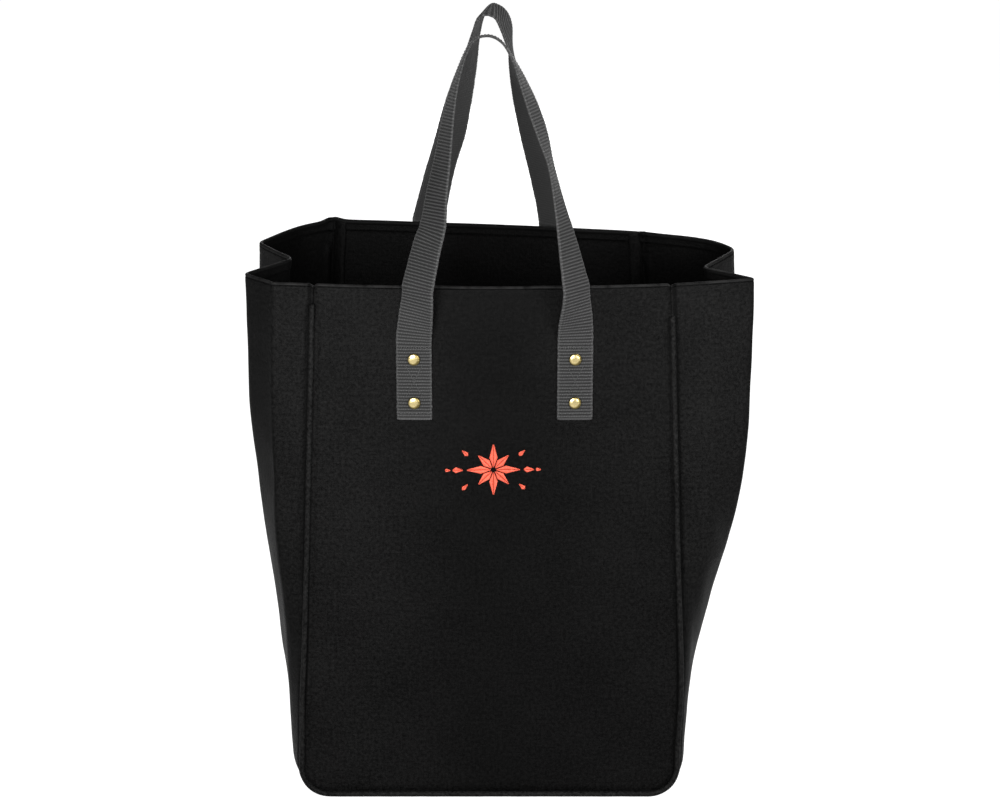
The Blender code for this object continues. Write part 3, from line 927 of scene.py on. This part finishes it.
def panelInward(panel, station):  # in the panel, square to its seam
    place = station[panel["name"]]
    normal = panelNormal(panel, place.x, max(place.z, bag["cloth"]))
    return (normal.cross(station["along"]) * -panel["facing"]).normalized()


def seamInset(inward, run):  # how far the gusset's edge stays from the seam
    angle = acos(max(min(inward.dot(run), 1.0), -1.0))
    if angle < pi / 2.0:
        return (bag["cloth"] * (1.0 + cos(angle)) + bag["gap"]) / sin(angle)
    return bag["cloth"] * sin(angle) + bag["gap"]


def foldCorners(station):
    side = station["side"]
    row = readTable(gusset["folds"][side], station["height"] / bag["height"])
    depth = station["back"] - station["front"]
    down = max(1.0 - station["height"] / bag["cornerRadius"], 0.0)  # it follows the round corner
    outward = Vector((depth.y, -depth.x, 0.0)).normalized() * side * sqrt(1.0 - down**2)
    outward.z = -down
    middle = [
        station["front"]
        + depth * share
        + outward * (reach * gusset["reach"][side] * station["swell"])
        for share, reach in zip(row[1::2], row[2::2])
    ]
    return [station["front"], *middle, station["back"]]


def gussetEnds(station, corners):
    firstRun = (corners[1] - corners[0]).normalized()
    lastRun = (corners[-2] - corners[-1]).normalized()
    first = corners[0] + firstRun * seamInset(panelInward(frontPanel, station), firstRun)
    last = corners[-1] + lastRun * seamInset(panelInward(backPanel, station), lastRun)
    return first, last


def gussetRow(station):
    corners = foldCorners(station)
    first, last = gussetEnds(station, corners)
    steep = ease(station["height"] / 0.30)
    points, place = [first], first
    steps, bendSteps, crowding = gusset["runSteps"], gusset["bendSteps"], gusset["crowding"]
    roundings, most = gusset["roundings"][station["side"]], gusset["bendShare"]
    for before, corner, after, mouth in zip(corners, corners[1:], corners[2:], roundings):
        rounding = mix(gusset["baseRounding"], mouth, steep)
        backWay, onWay = before - corner, after - corner
        start = corner + backWay.normalized() * min(rounding, most * backWay.length)
        end = corner + onWay.normalized() * min(rounding, most * onWay.length)
        power = crowding if place is first else 1.0
        points += [mix(place, start, (k / steps) ** power) for k in range(1, steps)]
        for k in range(bendSteps + 1):
            t = k / bendSteps
            points.append(start * (1 - t) ** 2 + corner * (2 * t * (1 - t)) + end * t**2)
        place = end
    points += [mix(last, place, (1.0 - k / steps) ** crowding) for k in range(1, steps + 1)]
    return points


def gussetRelief(point, station, share, fromSeam, fromRim):
    lift, height = 0.0, station["height"]
    place = Vector((share * bag["baseDepth"], height))
    for side, start, end, width, rise in gusset["pulls"]:
        if side == station["side"] and height > 0.0:
            a, b = (Vector((across * bag["baseDepth"], up)) for across, up in (start, end))
            lift += rise * bump(distanceToRun(place, a, b), width)
    lift += sum(rise * unevenness(point, width, seed) for rise, width, seed in gusset["dents"])
    foot = mix(gusset["footShare"], 1.0, ease(height / gusset["footFade"]))
    lift *= ease(fromSeam / gusset["seamFade"]) * foot
    return withSeams(lift, "gusset", point, station["run"], 4.0, fromSeam, fromRim)


def makeGusset(name, node):
    grids, thickness = emptyGrids(), []
    creaseAt = gusset["runSteps"] + gusset["bendSteps"] / 2.0  # the column in the first fold
    for station in seamStations(gusset["spacing"], gusset["arcSteps"], hem["rows"]):
        line = gussetRow(station)
        runs = [0.0]
        for a, b in zip(line, line[1:]):
            runs.append(runs[-1] + (b - a).length)
        total, side = runs[-1], station["side"]
        fromRim = bag["height"] - station["height"]
        left = ease((0.0 if side > 0.0 else station["height"]) / 0.10)
        row = emptyGrids()
        for column, (point, run) in enumerate(zip(line, runs)):
            gap = min(run, total - run)
            panel = frontPanel if run < total / 2.0 else backPanel
            past = column - creaseAt
            lift = gussetRelief(point, station, run / total, gap, fromRim)
            # painted shade on the left wing's outer strip, turned from the light, and round the
            # corners
            pale = mix(1.0, dust["wingEdge"], left * bump(past - 7.0, 6.5))
            pale *= mix(1.0, dust["sides"], ease((past - 10.0) / 4.0))
            row["points"].append(point + rimShift(panel, side, gap, fromRim))
            row["relief"].append(lift + gusset["pressed"] * left * bump(past, 1.2))
            row["cloth"].append((run, station["run"]))
            row["edges"].append((gap * gusset["seamShade"], fromRim))
            row["dust"].append((pale, dust["inside"]))
        addRow(grids, row)
        thickness.append(clothThickness(fromRim))
    clothWall(name, grids, thickness, node)


makeGusset("gussetCloth", "gusset")

piping = {
    "diameter": 0.004,
    "pressed": 1.12,  # the cord's cover swells the cord so much
    "uneven": 0.05,
    "endSize": 0.90,
    "drops": {-1.0: 0.017, 1.0: 0.027},  # rim to the piping's two ends
    "rows": [0.030, 0.027, 0.0245, 0.022, 0.0195, 0.017],  # below the rim
    "arcSteps": 14,
    "tuck": 0.080,
    "sides": 16,
    "spacing": 0.0030,
}


def pipingPoint(panel, station):
    corners = foldCorners(station)
    first, last = gussetEnds(station, corners)
    if panel is frontPanel:
        edge, near, sign = first, corners[1], 1.0
    else:
        edge, near, sign = last, corners[-2], -1.0
    seam = station[panel["name"]]
    gussetNormal = ((near - edge).normalized().cross(station["along"]) * sign).normalized()
    normal = panelNormal(panel, seam.x, max(seam.z, bag["cloth"]))
    inward = panelInward(panel, station)
    reach = piping["diameter"] / 2.0 + bag["gap"]
    halfAngle = acos(max(min(normal.dot(gussetNormal), 1.0), -1.0)) / 2.0
    share = ease((station["height"] - bag["cornerRadius"]) / piping["tuck"])
    sideways = mix(piping["diameter"] / 2.0, -reach * sin(halfAngle), share)
    outward = reach if sideways >= 0.0 else sqrt(reach**2 - sideways**2)
    return seam + normal * outward + inward * sideways, normal


def makePiping(name, panel, node):
    kept = [
        station
        for station in seamStations(piping["spacing"], piping["arcSteps"], piping["rows"])
        if station["height"] <= bag["height"] - piping["drops"][station["side"]] + 1e-6
    ]
    middles = [pipingPoint(panel, station) for station in kept]
    rings, cloth = [], []
    radius, last = piping["diameter"] / 2.0, len(middles) - 1
    for index, (middle, normal) in enumerate(middles):
        along = (middles[min(index + 1, last)][0] - middles[max(index - 1, 0)][0]).normalized()
        sideways = along.cross(normal).normalized()
        normal = sideways.cross(along).normalized()
        run = kept[index]["run"]
        uneven = piping["uneven"] * unevenness((run, 0.0, 0.0), 0.012, 6.0)
        size = radius * (piping["pressed"] + uneven)
        if index in (0, last):
            size *= piping["endSize"]
        ring = []
        for k in range(piping["sides"]):
            angle = -2.0 * pi * k / piping["sides"]
            ring.append(middle + (sideways * cos(angle) + normal * sin(angle)) * size)
            cloth.append((radius * 2.0 * pi * k / piping["sides"], run))
        rings.append(ring)
    maps = {"cloth": cloth, "edges": [noEdge] * len(cloth)}
    loft(name, rings, pipingCloth, maps, (node,))


makePiping("frontPipingCord", frontPanel, "front_piping")
makePiping("backPipingCord", backPanel, "back_piping")

binding = {
    "width": 0.0105,  # seam allowance with its tape, inside the bag
    "thickness": 0.0024,
    "inset": 0.0022,
    "lean": 0.10,
    "spacing": 0.0045,
    "arcSteps": 10,
    "rows": [0.012, 0.007, 0.003, 0.0012],  # below the rim
    "dust": 1.6,  # painted light on the bindings, times that of the cloth inside
    # share of the width, share of half the thickness; the other face mirrors it
    "face": [(0.0, 0.75), (0.40, 0.62), (0.47, 0.98), (0.70, 1.05), (0.92, 0.95), (0.985, 0.6)],
}


def makeBinding(name, panel):  # the bound seam allowance that stands along each seam inside
    face, half = binding["face"], binding["thickness"] / 2.0
    outline = face + [(1.0, 0.0)] + [(share, -lift) for share, lift in reversed(face)]
    rings, cloth = [], []
    for station in seamStations(binding["spacing"], binding["arcSteps"], binding["rows"]):
        seam = station[panel["name"]]
        normal = panelNormal(panel, seam.x, max(seam.z, bag["cloth"]))
        inward = panelInward(panel, station)
        sway = 0.16 * unevenness(seam, 0.030, 9.0)
        direction = (inward - normal * (binding["lean"] + sway)).normalized()
        out = direction.cross(station["along"]).normalized()
        if out.dot(normal) < 0.0:
            out = -out
        root = seam - normal * (bag["cloth"] + half * 0.55) + inward * binding["inset"]
        width = binding["width"] * (1.0 + 0.07 * unevenness(seam, 0.020, 1.0))
        ring = [root + direction * (width * share) + out * (half * lift) for share, lift in outline]
        rings.append(ring[::-1] if panel is frontPanel else ring)
        cloth += [(width * share + lift * half, station["run"]) for share, lift in outline]
    pale = [(dust["inside"] * binding["dust"],) * 2] * len(cloth)
    maps = {"cloth": cloth, "edges": [noEdge] * len(cloth), "dust": pale, "side": pale}
    loft(name, rings, canvas, maps, ())


makeBinding("frontSeamBinding", frontPanel)
makeBinding("backSeamBinding", backPanel)
print("cloth, piping and bindings made")

handles = {
    "width": 0.030,
    "thickness": 0.0018,
    "spacing": 0.134,  # between the middles of a handle's tails
    "offset": 0.002,
    "tail": 0.1135,  # rim to the cut end
    "free": 0.0515,  # rim to the sewn stretch
    "ribHeight": 0.00030,
    "samplesPerRib": 6,
    "columns": 12,
    "tailSteps": 30,
    "bendSteps": 24,  # from the sewn stretch to the rim
    "loopSteps": 10,  # between two rows of the loop's table
    "reach": 4,  # steps each way that give the direction
    "crown": 0.00009,  # more height of the ribs between the edges
    "selvedge": (0.00035, 0.0016),  # depth and width of the thinner edge
    "frayed": 0.00035,
    "front": {
        "rise": 0.2005,
        "lean": radians(13.0),
        # share of half the spacing, share of the rise, twist in degrees
        "loop": [
            (-0.94, 0.00, 27), (-0.83, 0.16, 37), (-0.75, 0.25, 44), (-0.70, 0.38, 54),
            (-0.64, 0.50, 62), (-0.54, 0.72, 74), (-0.43, 0.86, 83), (-0.283, 0.97, 88),
            (-0.093, 1.00, 90), (0.086, 0.976, 90), (0.231, 0.905, 87), (0.34, 0.826, 79),
            (0.472, 0.716, 72), (0.584, 0.61, 73), (0.69, 0.485, 81), (0.80, 0.32, 72),
            (0.88, 0.20, 60), (1.00, 0.00, 40),
        ],
    },
    "back": {
        "rise": 0.216,
        "lean": radians(24.0),
        "loop": [
            (-0.82, 0.00, 20), (-0.735, 0.13, 28), (-0.64, 0.26, 27), (-0.515, 0.40, 25),
            (-0.413, 0.55, 34), (-0.315, 0.69, 48), (-0.217, 0.818, 66), (-0.138, 0.91, 71),
            (-0.055, 0.966, 67), (0.06, 0.972, 79), (0.18, 0.93, 96), (0.249, 0.872, 98),
            (0.288, 0.80, 86), (0.336, 0.714, 68), (0.462, 0.563, 44), (0.579, 0.404, 35),
            (0.673, 0.261, 36), (0.783, 0.121, 26), (0.845, 0.00, 22),
        ],
    },
}


def tailSurface(panel, x, height, above):
    return panelPoint(panel, x, height) + panelNormal(panel, x, height) * above


def loopSamples(table, steps):
    samples, last = [], len(table) - 1
    for index in range(last):
        four = [table[min(max(row, 0), last)] for row in range(index - 1, index + 3)]
        for step in range(steps):
            samples.append([throughRows(*values, step / steps) for values in zip(*four)])
    samples.append(table[-1])
    return samples


def handlePath(panel):  # middle, twist and facing direction from tail to tail
    shape = handles[panel["name"]]
    half = handles["spacing"] / 2.0
    middle = panel["sway"] + handles["offset"]
    seat = bag["gap"] + handles["thickness"] / 2.0
    width = handles["width"]
    first, last = shape["loop"][0], shape["loop"][-1]
    top = bag["height"]
    legs = []
    for side, rim in ((-1.0, first), (1.0, last)):
        leg, tailX = [], handles["offset"] + side * half
        for step in range(handles["tailSteps"] + 1):
            share = step / handles["tailSteps"]
            height = top - mix(handles["tail"], handles["free"], share)
            normal = panelNormal(panel, tailX, height)
            leg.append((tailSurface(panel, tailX, height, seat), 0.0, normal))
        for step in range(1, handles["bendSteps"]):
            share = step / handles["bendSteps"]
            height = top - handles["free"] * (1.0 - share)
            x = mix(tailX, middle + rim[0] * half, ease(share))
            turn = radians(rim[2]) * ease(share)
            above = seat + sin(turn) * width / 2.0
            leg.append((tailSurface(panel, x, height, above), turn, panelNormal(panel, x, height)))
        legs.append(leg)
    plane = Vector((0.0, panel["facing"] * cos(shape["lean"]), sin(shape["lean"])))
    loop = []
    for across, up, turn in loopSamples(shape["loop"], handles["loopSteps"]):
        x = middle + across * half
        rimTurn = radians(mix(first[2], last[2], (across + 1.0) / 2.0))
        foot = tailSurface(panel, x, top, seat + sin(rimTurn) * width / 2.0)
        height = up * shape["rise"]
        place = foot + Vector((0.0, -panel["facing"] * tan(shape["lean"]) * height, height))
        facing = mix(panelNormal(panel, x, top), plane, ease(up / 0.35)).normalized()
        loop.append((place, radians(turn), facing))
    return legs[0] + loop + list(reversed(legs[1]))


def evenPath(path, step):  # the same path in equal steps along its length
    runs = [0.0]
    for a, b in zip(path, path[1:]):
        runs.append(runs[-1] + (b[0] - a[0]).length)
    count = round(runs[-1] / step)
    even, index = [], 0
    for k in range(count + 1):
        run = runs[-1] * k / count
        while index < len(path) - 2 and runs[index + 1] < run:
            index += 1
        share = (run - runs[index]) / max(runs[index + 1] - runs[index], 1e-9)
        a, b = path[index], path[index + 1]
        even.append((mix(a[0], b[0], share), mix(a[1], b[1], share), mix(a[2], b[2], share), run))
    return even


def makeHandle(name, panel, node):
    pitch, depth = webbingLook["ribPitch"], handles["thickness"]
    path = evenPath(handlePath(panel), pitch / handles["samplesPerRib"])
    width, columns = handles["width"] - depth, handles["columns"]  # the round edges add the rest
    selvedge, selvedgeWidth = handles["selvedge"]
    reach, last, length = handles["reach"], len(path) - 1, path[-1][3]
    points, cloth, edges, ribLifts = [], [], [], []
    for index, (place, turn, facing, run) in enumerate(path):
        along = path[min(index + reach, last)][0] - path[max(index - reach, 0)][0]
        along.normalize()
        outward = (facing - along * facing.dot(along)).normalized()
        inside = (along.cross(outward) * -panel["facing"]).normalized()
        across = (inside * cos(turn) + outward * sin(turn)) * -panel["facing"]
        face = across.cross(along).normalized()
        fromCut = min(run, length - run)
        rib = cos(2.0 * pi * run / pitch)
        ribLifts.append(handles["ribHeight"] * 0.5 * rib)
        row, rowCloth, rowEdges = [], [], []
        for k in range(columns + 1):
            share = mix(k / columns, ease(k / columns), 0.4)
            offset = (share - 0.5) * width
            fromEdge = min(share, 1.0 - share) * width
            crown = handles["crown"] * rib * ease(fromEdge / 0.0012)
            lift = depth / 2.0 + ribLifts[-1] + crown
            lift -= selvedge * bump(fromEdge, selvedgeWidth)
            sway = 0.0
            if k in (0, columns):
                sway = handles["frayed"] * unevenness((run, offset, 0.0), 0.003, 2.0)
            row.append(place + across * (offset + sway) + face * lift)
            rowCloth.append((offset, run))
            rowEdges.append((min(fromEdge, fromCut), 0.0))
        points.append(row)
        cloth.append(rowCloth)
        edges.append(rowEdges)
    maps = {"cloth": cloth, "edges": edges}
    thickness = [depth] * len(points)
    clothShell(name, points, thickness, maps, webbing, node, ribLifts)


makeHandle("frontHandleWebbing", frontPanel, "front_handle")
makeHandle("backHandleWebbing", backPanel, "back_handle")

rivets = {
    "headDiameter": 0.0105,
    "headHeight": 0.0026,
    "shankDiameter": 0.003,
    "capDiameter": 0.009,
    "capThickness": 0.001,
    "rises": (0.0140, 0.0515),  # above the webbing's cut end
    "sides": 32,
    "domeSteps": 10,
}


def rivetOutline():
    seat = 2.0 * bag["gap"] + handles["thickness"]
    head, shank = rivets["headDiameter"] / 2.0, rivets["shankDiameter"] / 2.0
    cap, tall = rivets["capDiameter"] / 2.0, rivets["headHeight"]
    under, thick = -bag["cloth"] - bag["gap"], rivets["capThickness"]
    outline = [(0.0, seat + tall)]
    steps = rivets["domeSteps"] + 1
    for step in range(1, steps):  # the dome, flattened a little where the press held it
        angle = pi / 2.0 * step / steps
        level = 0.22 + 0.78 * cos(angle) ** 0.85
        outline.append((head * sin(angle) ** 0.92, seat + tall * level))
    outline += [(head, seat + tall * 0.20), (head * 0.995, seat + tall * 0.06), (head * 0.95, seat)]
    outline += [(shank, seat), (shank, under), (cap * 0.96, under), (cap, under - thick * 0.3)]
    outline += [(cap * 0.97, under - thick * 0.8), (cap * 0.85, under - thick)]
    outline += [(cap * 0.45, under - thick), (cap * 0.35, under - thick * 0.6)]
    return outline + [(0.0, under - thick * 0.55)]


def makeRivet(name, panel, x, height, node):
    spot = panelNormal(panel, x, height).to_track_quat("Z", "Y").to_matrix().to_4x4()
    spot = Matrix.Translation(panelPoint(panel, x, height)) @ spot
    sides, outline = rivets["sides"], rivetOutline()
    verts, cloth, faces, starts = [], [], [], []
    for radius, level in outline:
        starts.append(len(verts))
        for k in range(sides if radius > 0.0 else 1):
            angle = 2.0 * pi * k / sides
            verts.append(spot @ Vector((radius * cos(angle), radius * sin(angle), level)))
            cloth.append((angle / brassLook["roundTurns"], radius))
    for i in range(len(outline) - 1):
        a, b = starts[i], starts[i + 1]
        for k in range(sides):
            n = (k + 1) % sides
            if i == 0:
                faces.append((a, b + k, b + n))
            elif i == len(outline) - 2:
                faces.append((a + n, a + k, b))
            else:
                faces.append((a + n, a + k, b + k, b + n))
    newPiece(name, verts, faces, brass, {"cloth": cloth}, (node,))


for panel in (frontPanel, backPanel):
    spots = [(side, rise) for side in (-1.0, 1.0) for rise in rivets["rises"]]
    for number, (side, rise) in enumerate(spots, 1):
        x = handles["offset"] + side * handles["spacing"] / 2.0
        height = bag["height"] - handles["tail"] + rise
        label = panel["name"]
        makeRivet(f"{label}Rivet{number}", panel, x, height, f"{label}_rivet_{number}")
print("handles and rivets made")


# stitches: each one a short thread that dips into the cloth at both ends
def addStitch(store, start, end, normal, look):
    run = end - start
    sideways = run.normalized().cross(normal).normalized()
    radius, base = look["radius"], len(store["verts"])
    steps, sides = 4, 5
    for step in range(steps + 1):
        share = step / steps
        lift = look["arch"] * sin(pi * share) - radius * 0.9 * (1.0 - sin(pi * share))
        middle = start + run * share + normal * lift
        for k in range(sides):
            angle = 2.0 * pi * k / sides
            store["verts"].append(middle + (sideways * cos(angle) + normal * sin(angle)) * radius)
            store["cloth"].append((k / sides, run.length * share))
    for step in range(steps):
        for k in range(sides):
            n = (k + 1) % sides
            a, b = base + step * sides, base + (step + 1) * sides
            store["faces"].append((a + k, b + k, b + n, a + n))
    store["faces"].append(tuple(base + k for k in range(sides)))
    store["faces"].append(tuple(base + steps * sides + k for k in range(sides - 1, -1, -1)))


def newStore():
    return {"verts": [], "cloth": [], "faces": []}


def sewPiece(name, store, thread):
    newPiece(name, store["verts"], store["faces"], thread, {"cloth": store["cloth"]}, ())


def stitchOn(store, surface, start, end, look):  # surface turns a place into a point and a normal
    first, normal = surface(*start)
    second, normalEnd = surface(*end)
    addStitch(store, first, second, (normal + normalEnd).normalized(), look)


def stitchRow(store, surface, route, look):  # route is a list of places
    for (x0, y0), (x1, y1) in zip(route, route[1:]):
        total = sqrt((x1 - x0) ** 2 + (y1 - y0) ** 2)
        count = max(1, round(total / (look["length"] + look["gap"])))
        for k in range(count):
            a, b = (k + 0.08) / count, (k + 0.92) / count
            start, end = (mix(x0, x1, a), mix(y0, y1, a)), (mix(x0, x1, b), mix(y0, y1, b))
            stitchOn(store, surface, start, end, look)


tailStitching = {
    "length": 0.0026,
    "gap": 0.0005,
    "radius": 0.00034,
    "arch": 0.00022,
    "above": 0.00022,  # over the webbing
    "sunk": 0.0004,  # into the cloth inside
    # half width, and heights above the cut end
    "cross": (0.0068, 0.0195, 0.0460),  # between the rivets
    "endRow": (0.0128, 0.0045),
    "zigzag": (0.0130, 0.0615),
    "zigzagSwing": 0.0016,
    "zigzagSteps": 13,
}


def tailRoutes():
    half, low, high = tailStitching["cross"]
    rowHalf, rise = tailStitching["endRow"]
    zigzagHalf, level = tailStitching["zigzag"]
    swing, steps = tailStitching["zigzagSwing"], tailStitching["zigzagSteps"]
    return [
        [(-half, low), (half, high)],
        [(half, low), (-half, high)],
        [(-rowHalf, rise), (rowHalf, rise)],
        [
            (mix(-zigzagHalf, zigzagHalf, k / steps), level + (swing if k % 2 else -swing))
            for k in range(steps + 1)
        ],
    ]


def makeTailStitches(name, panel):
    store = newStore()
    for side in (-1.0, 1.0):
        tailX = handles["offset"] + side * handles["spacing"] / 2.0
        for inner in (False, True):

            def surface(x, rise):
                height = bag["height"] - handles["tail"] + rise
                normal = panelNormal(panel, tailX + x, height)
                point = panelPoint(panel, tailX + x, height)
                if inner:
                    return point - normal * (bag["cloth"] - tailStitching["sunk"]), -normal
                above = bag["gap"] + handles["thickness"] + tailStitching["above"]
                return point + normal * above, normal

            for route in tailRoutes():
                stitchRow(store, surface, route, tailStitching)
    sewPiece(name, store, greyThread)


makeTailStitches("frontTailStitching", frontPanel)
makeTailStitches("backTailStitching", backPanel)

hemStitching = {
    "length": 0.0026,
    "gap": 0.0011,
    "radius": 0.00028,
    "arch": 0.00012,
    "sunk": 0.00022,
    "fromSeam": 0.004,
    "least": 0.0008,  # shorter ones are left out where a fold is sharp
}


def makeHemStitches(name):
    store, look = newStore(), hemStitching
    height = bag["height"] - hem["stitchLine"]
    drop = Vector((0.0, 0.0, clothThickness(0.0) / 2.0))
    for panel in (frontPanel, backPanel):

        def surface(x, level):
            normal = panelNormal(panel, x, level)
            return panelPoint(panel, x, level) - normal * look["sunk"] - drop, normal

        left = seamPoint(panel, -1.0, height).x + look["fromSeam"]
        right = seamPoint(panel, 1.0, height).x - look["fromSeam"]
        stitchRow(store, surface, [(left, height), (right, height)], look)
    for side in (-1.0, 1.0):
        station = {
            "front": seamPoint(frontPanel, side, height),
            "back": seamPoint(backPanel, side, height),
            "side": side,
            "height": height,
            "swell": 1.0,
            "along": Vector((0.0, 0.0, side)),
        }
        row = gussetRow(station)
        for a, b in zip(row, row[1:]):
            normal = (b - a).cross(station["along"]).normalized()
            sunk = drop + normal * look["sunk"]
            count = max(1, round((b - a).length / (look["length"] + look["gap"])))
            for k in range(count):
                start, end = mix(a, b, (k + 0.15) / count), mix(a, b, (k + 0.85) / count)
                if (end - start).length > look["least"]:
                    addStitch(store, start - sunk, end - sunk, normal, look)
    sewPiece(name, store, blackThread)


makeHemStitches("hemStitching")
print("stitching made")

ornament = {
    "x": 0.0010,  # its middle on the front panel
    "height": 0.2985,
    "starRadius": 0.0240,
    "starCore": 0.0012,
    "shortRay": 0.80,  # share of the long rays
    "rayWidth": 0.0070,
    "sideMarks": [(0.0300, 0.0050), (0.0382, 0.0028)],  # distance and half length
    "sideMarkShape": 0.52,  # width as a share of length
    "cornerMarks": (0.0240, 0.0150),
    "cornerMarkSize": (0.0040, 0.0019),  # half length and half width
    "waist": 0.48,  # share of a ray's length where it is widest
    "split": 0.00012,  # half the gap along a ray's axis
    "slant": 0.0016,  # satin threads lean back by that much at the waist
    "pitch": 0.00042,  # between satin threads
    "radius": 0.00026,
    "arch": 0.00042,
    "least": 0.00045,
    "above": 0.00008,
}


def satinLozenge(store, surface, middle, angle, inner, outer, half):
    # two mirrored halves; each one lies between the long axis and one side
    middle = Vector(middle)
    axis, side = Vector((sin(angle), cos(angle))), Vector((cos(angle), -sin(angle)))
    waist = mix(inner, outer, ornament["waist"])
    count = round((outer - inner) / ornament["pitch"])
    for sign in (-1.0, 1.0):
        for k in range(count + 1):
            level = mix(inner, outer, (k + 0.5) / (count + 1.0))
            if level < waist:
                reach = half * (level - inner) / (waist - inner)
            else:
                reach = half * (outer - level) / (outer - waist)
            if reach < ornament["least"]:
                continue
            start = middle + axis * level + side * (sign * ornament["split"])
            slant = ornament["slant"] * reach / half
            end = middle + axis * (level - slant) + side * (sign * reach)
            stitchOn(store, surface, start, end, ornament)


def makeOrnament(name):
    store = newStore()

    def surface(x, y):
        across, height = ornament["x"] + x, ornament["height"] + y
        fromSeam = seamPoint(frontPanel, 1.0, height).x - abs(across)
        lift = panelRelief(frontPanel, across, height, fromSeam, bag["height"] - height)
        normal = panelNormal(frontPanel, across, height)
        point = panelPoint(frontPanel, across, height)
        return point + normal * (lift + ornament["above"]), normal

    def lozenge(*shape):
        satinLozenge(store, surface, *shape)

    for k in range(8):
        outer = ornament["starRadius"] * (ornament["shortRay"] if k % 2 else 1.0)
        half = ornament["rayWidth"] / 2.0
        lozenge((0.0, 0.0), pi / 4.0 * k, ornament["starCore"], outer, half)
    markX, markY = ornament["cornerMarks"]
    long, wide = ornament["cornerMarkSize"]
    for sign in (-1.0, 1.0):
        for distance, size in ornament["sideMarks"]:
            half = size * ornament["sideMarkShape"]
            lozenge((sign * distance, 0.0), pi / 2.0, -size, size, half)
        for up in (-1.0, 1.0):
            lozenge((sign * markX, up * markY), pi / 4.0 * sign * up, -long, long, wide)
    sewPiece(name, store, coralThread)


makeOrnament("stitchedStar")
print("ornament made")

studio = {
    "cameraPlace": (0.0065, -1.9694, 1.0712),
    "cameraTilt": radians(69.2),
    "lens": 86.4,
    "sensor": 36.0,
    "sky": 0.12,
    "floorGlow": 0.98,
    "floorRadius": 9.0,
    "floorLevel": -0.0002,
    # name, place, size, power and what it points at
    "lamps": [
        ("keyLeft", (-0.28, -0.72, 0.66), 0.35, 15.0, (-0.08, 0.0, 0.36)),
        ("fillRight", (0.52, -0.70, 0.66), 0.35, 13.0, (0.08, 0.0, 0.36)),
        ("rearSoft", (0.3, 2.2, 0.7), 1.4, 25.0, (0.0, 0.0, 0.2)),
        ("topRight", (0.46, -0.06, 1.02), 0.20, 5.5, (0.03, 0.0, 0.62)),
    ],
}

bpy.ops.mesh.primitive_circle_add(
    vertices=96,
    radius=studio["floorRadius"],
    fill_type="NGON",
    location=(0.0, 0.0, studio["floorLevel"]),
)
floor = bpy.context.object
floor.name = "paleFloor"
floor.data.materials.append(floorFinish("palePaper"))

world = bpy.data.worlds.new("softWhite")
bpy.context.scene.world = world
world.use_nodes = True
sky = world.node_tree.nodes["Background"]
sky.inputs["Color"].default_value = grey(1.0)
sky.inputs["Strength"].default_value = studio["sky"]

for name, place, size, power, target in studio["lamps"]:
    light = bpy.data.lights.new(name, "AREA")
    light.size = size
    light.energy = power
    lamp = bpy.data.objects.new(name, light)
    bpy.context.scene.collection.objects.link(lamp)
    lamp.location = place
    lamp.visible_camera = False
    aim = Vector(target) - Vector(place)
    lamp.rotation_euler = aim.to_track_quat("-Z", "Y").to_euler()

lens = bpy.data.cameras.new("photoCamera")
lens.lens = studio["lens"]
lens.sensor_width = studio["sensor"]
camera = bpy.data.objects.new("photoCamera", lens)
bpy.context.scene.collection.objects.link(camera)
camera.location = studio["cameraPlace"]
camera.rotation_euler = (studio["cameraTilt"], 0.0, 0.0)
bpy.context.scene.camera = camera
bpy.context.scene.view_settings.view_transform = "Standard"
print("studio set")
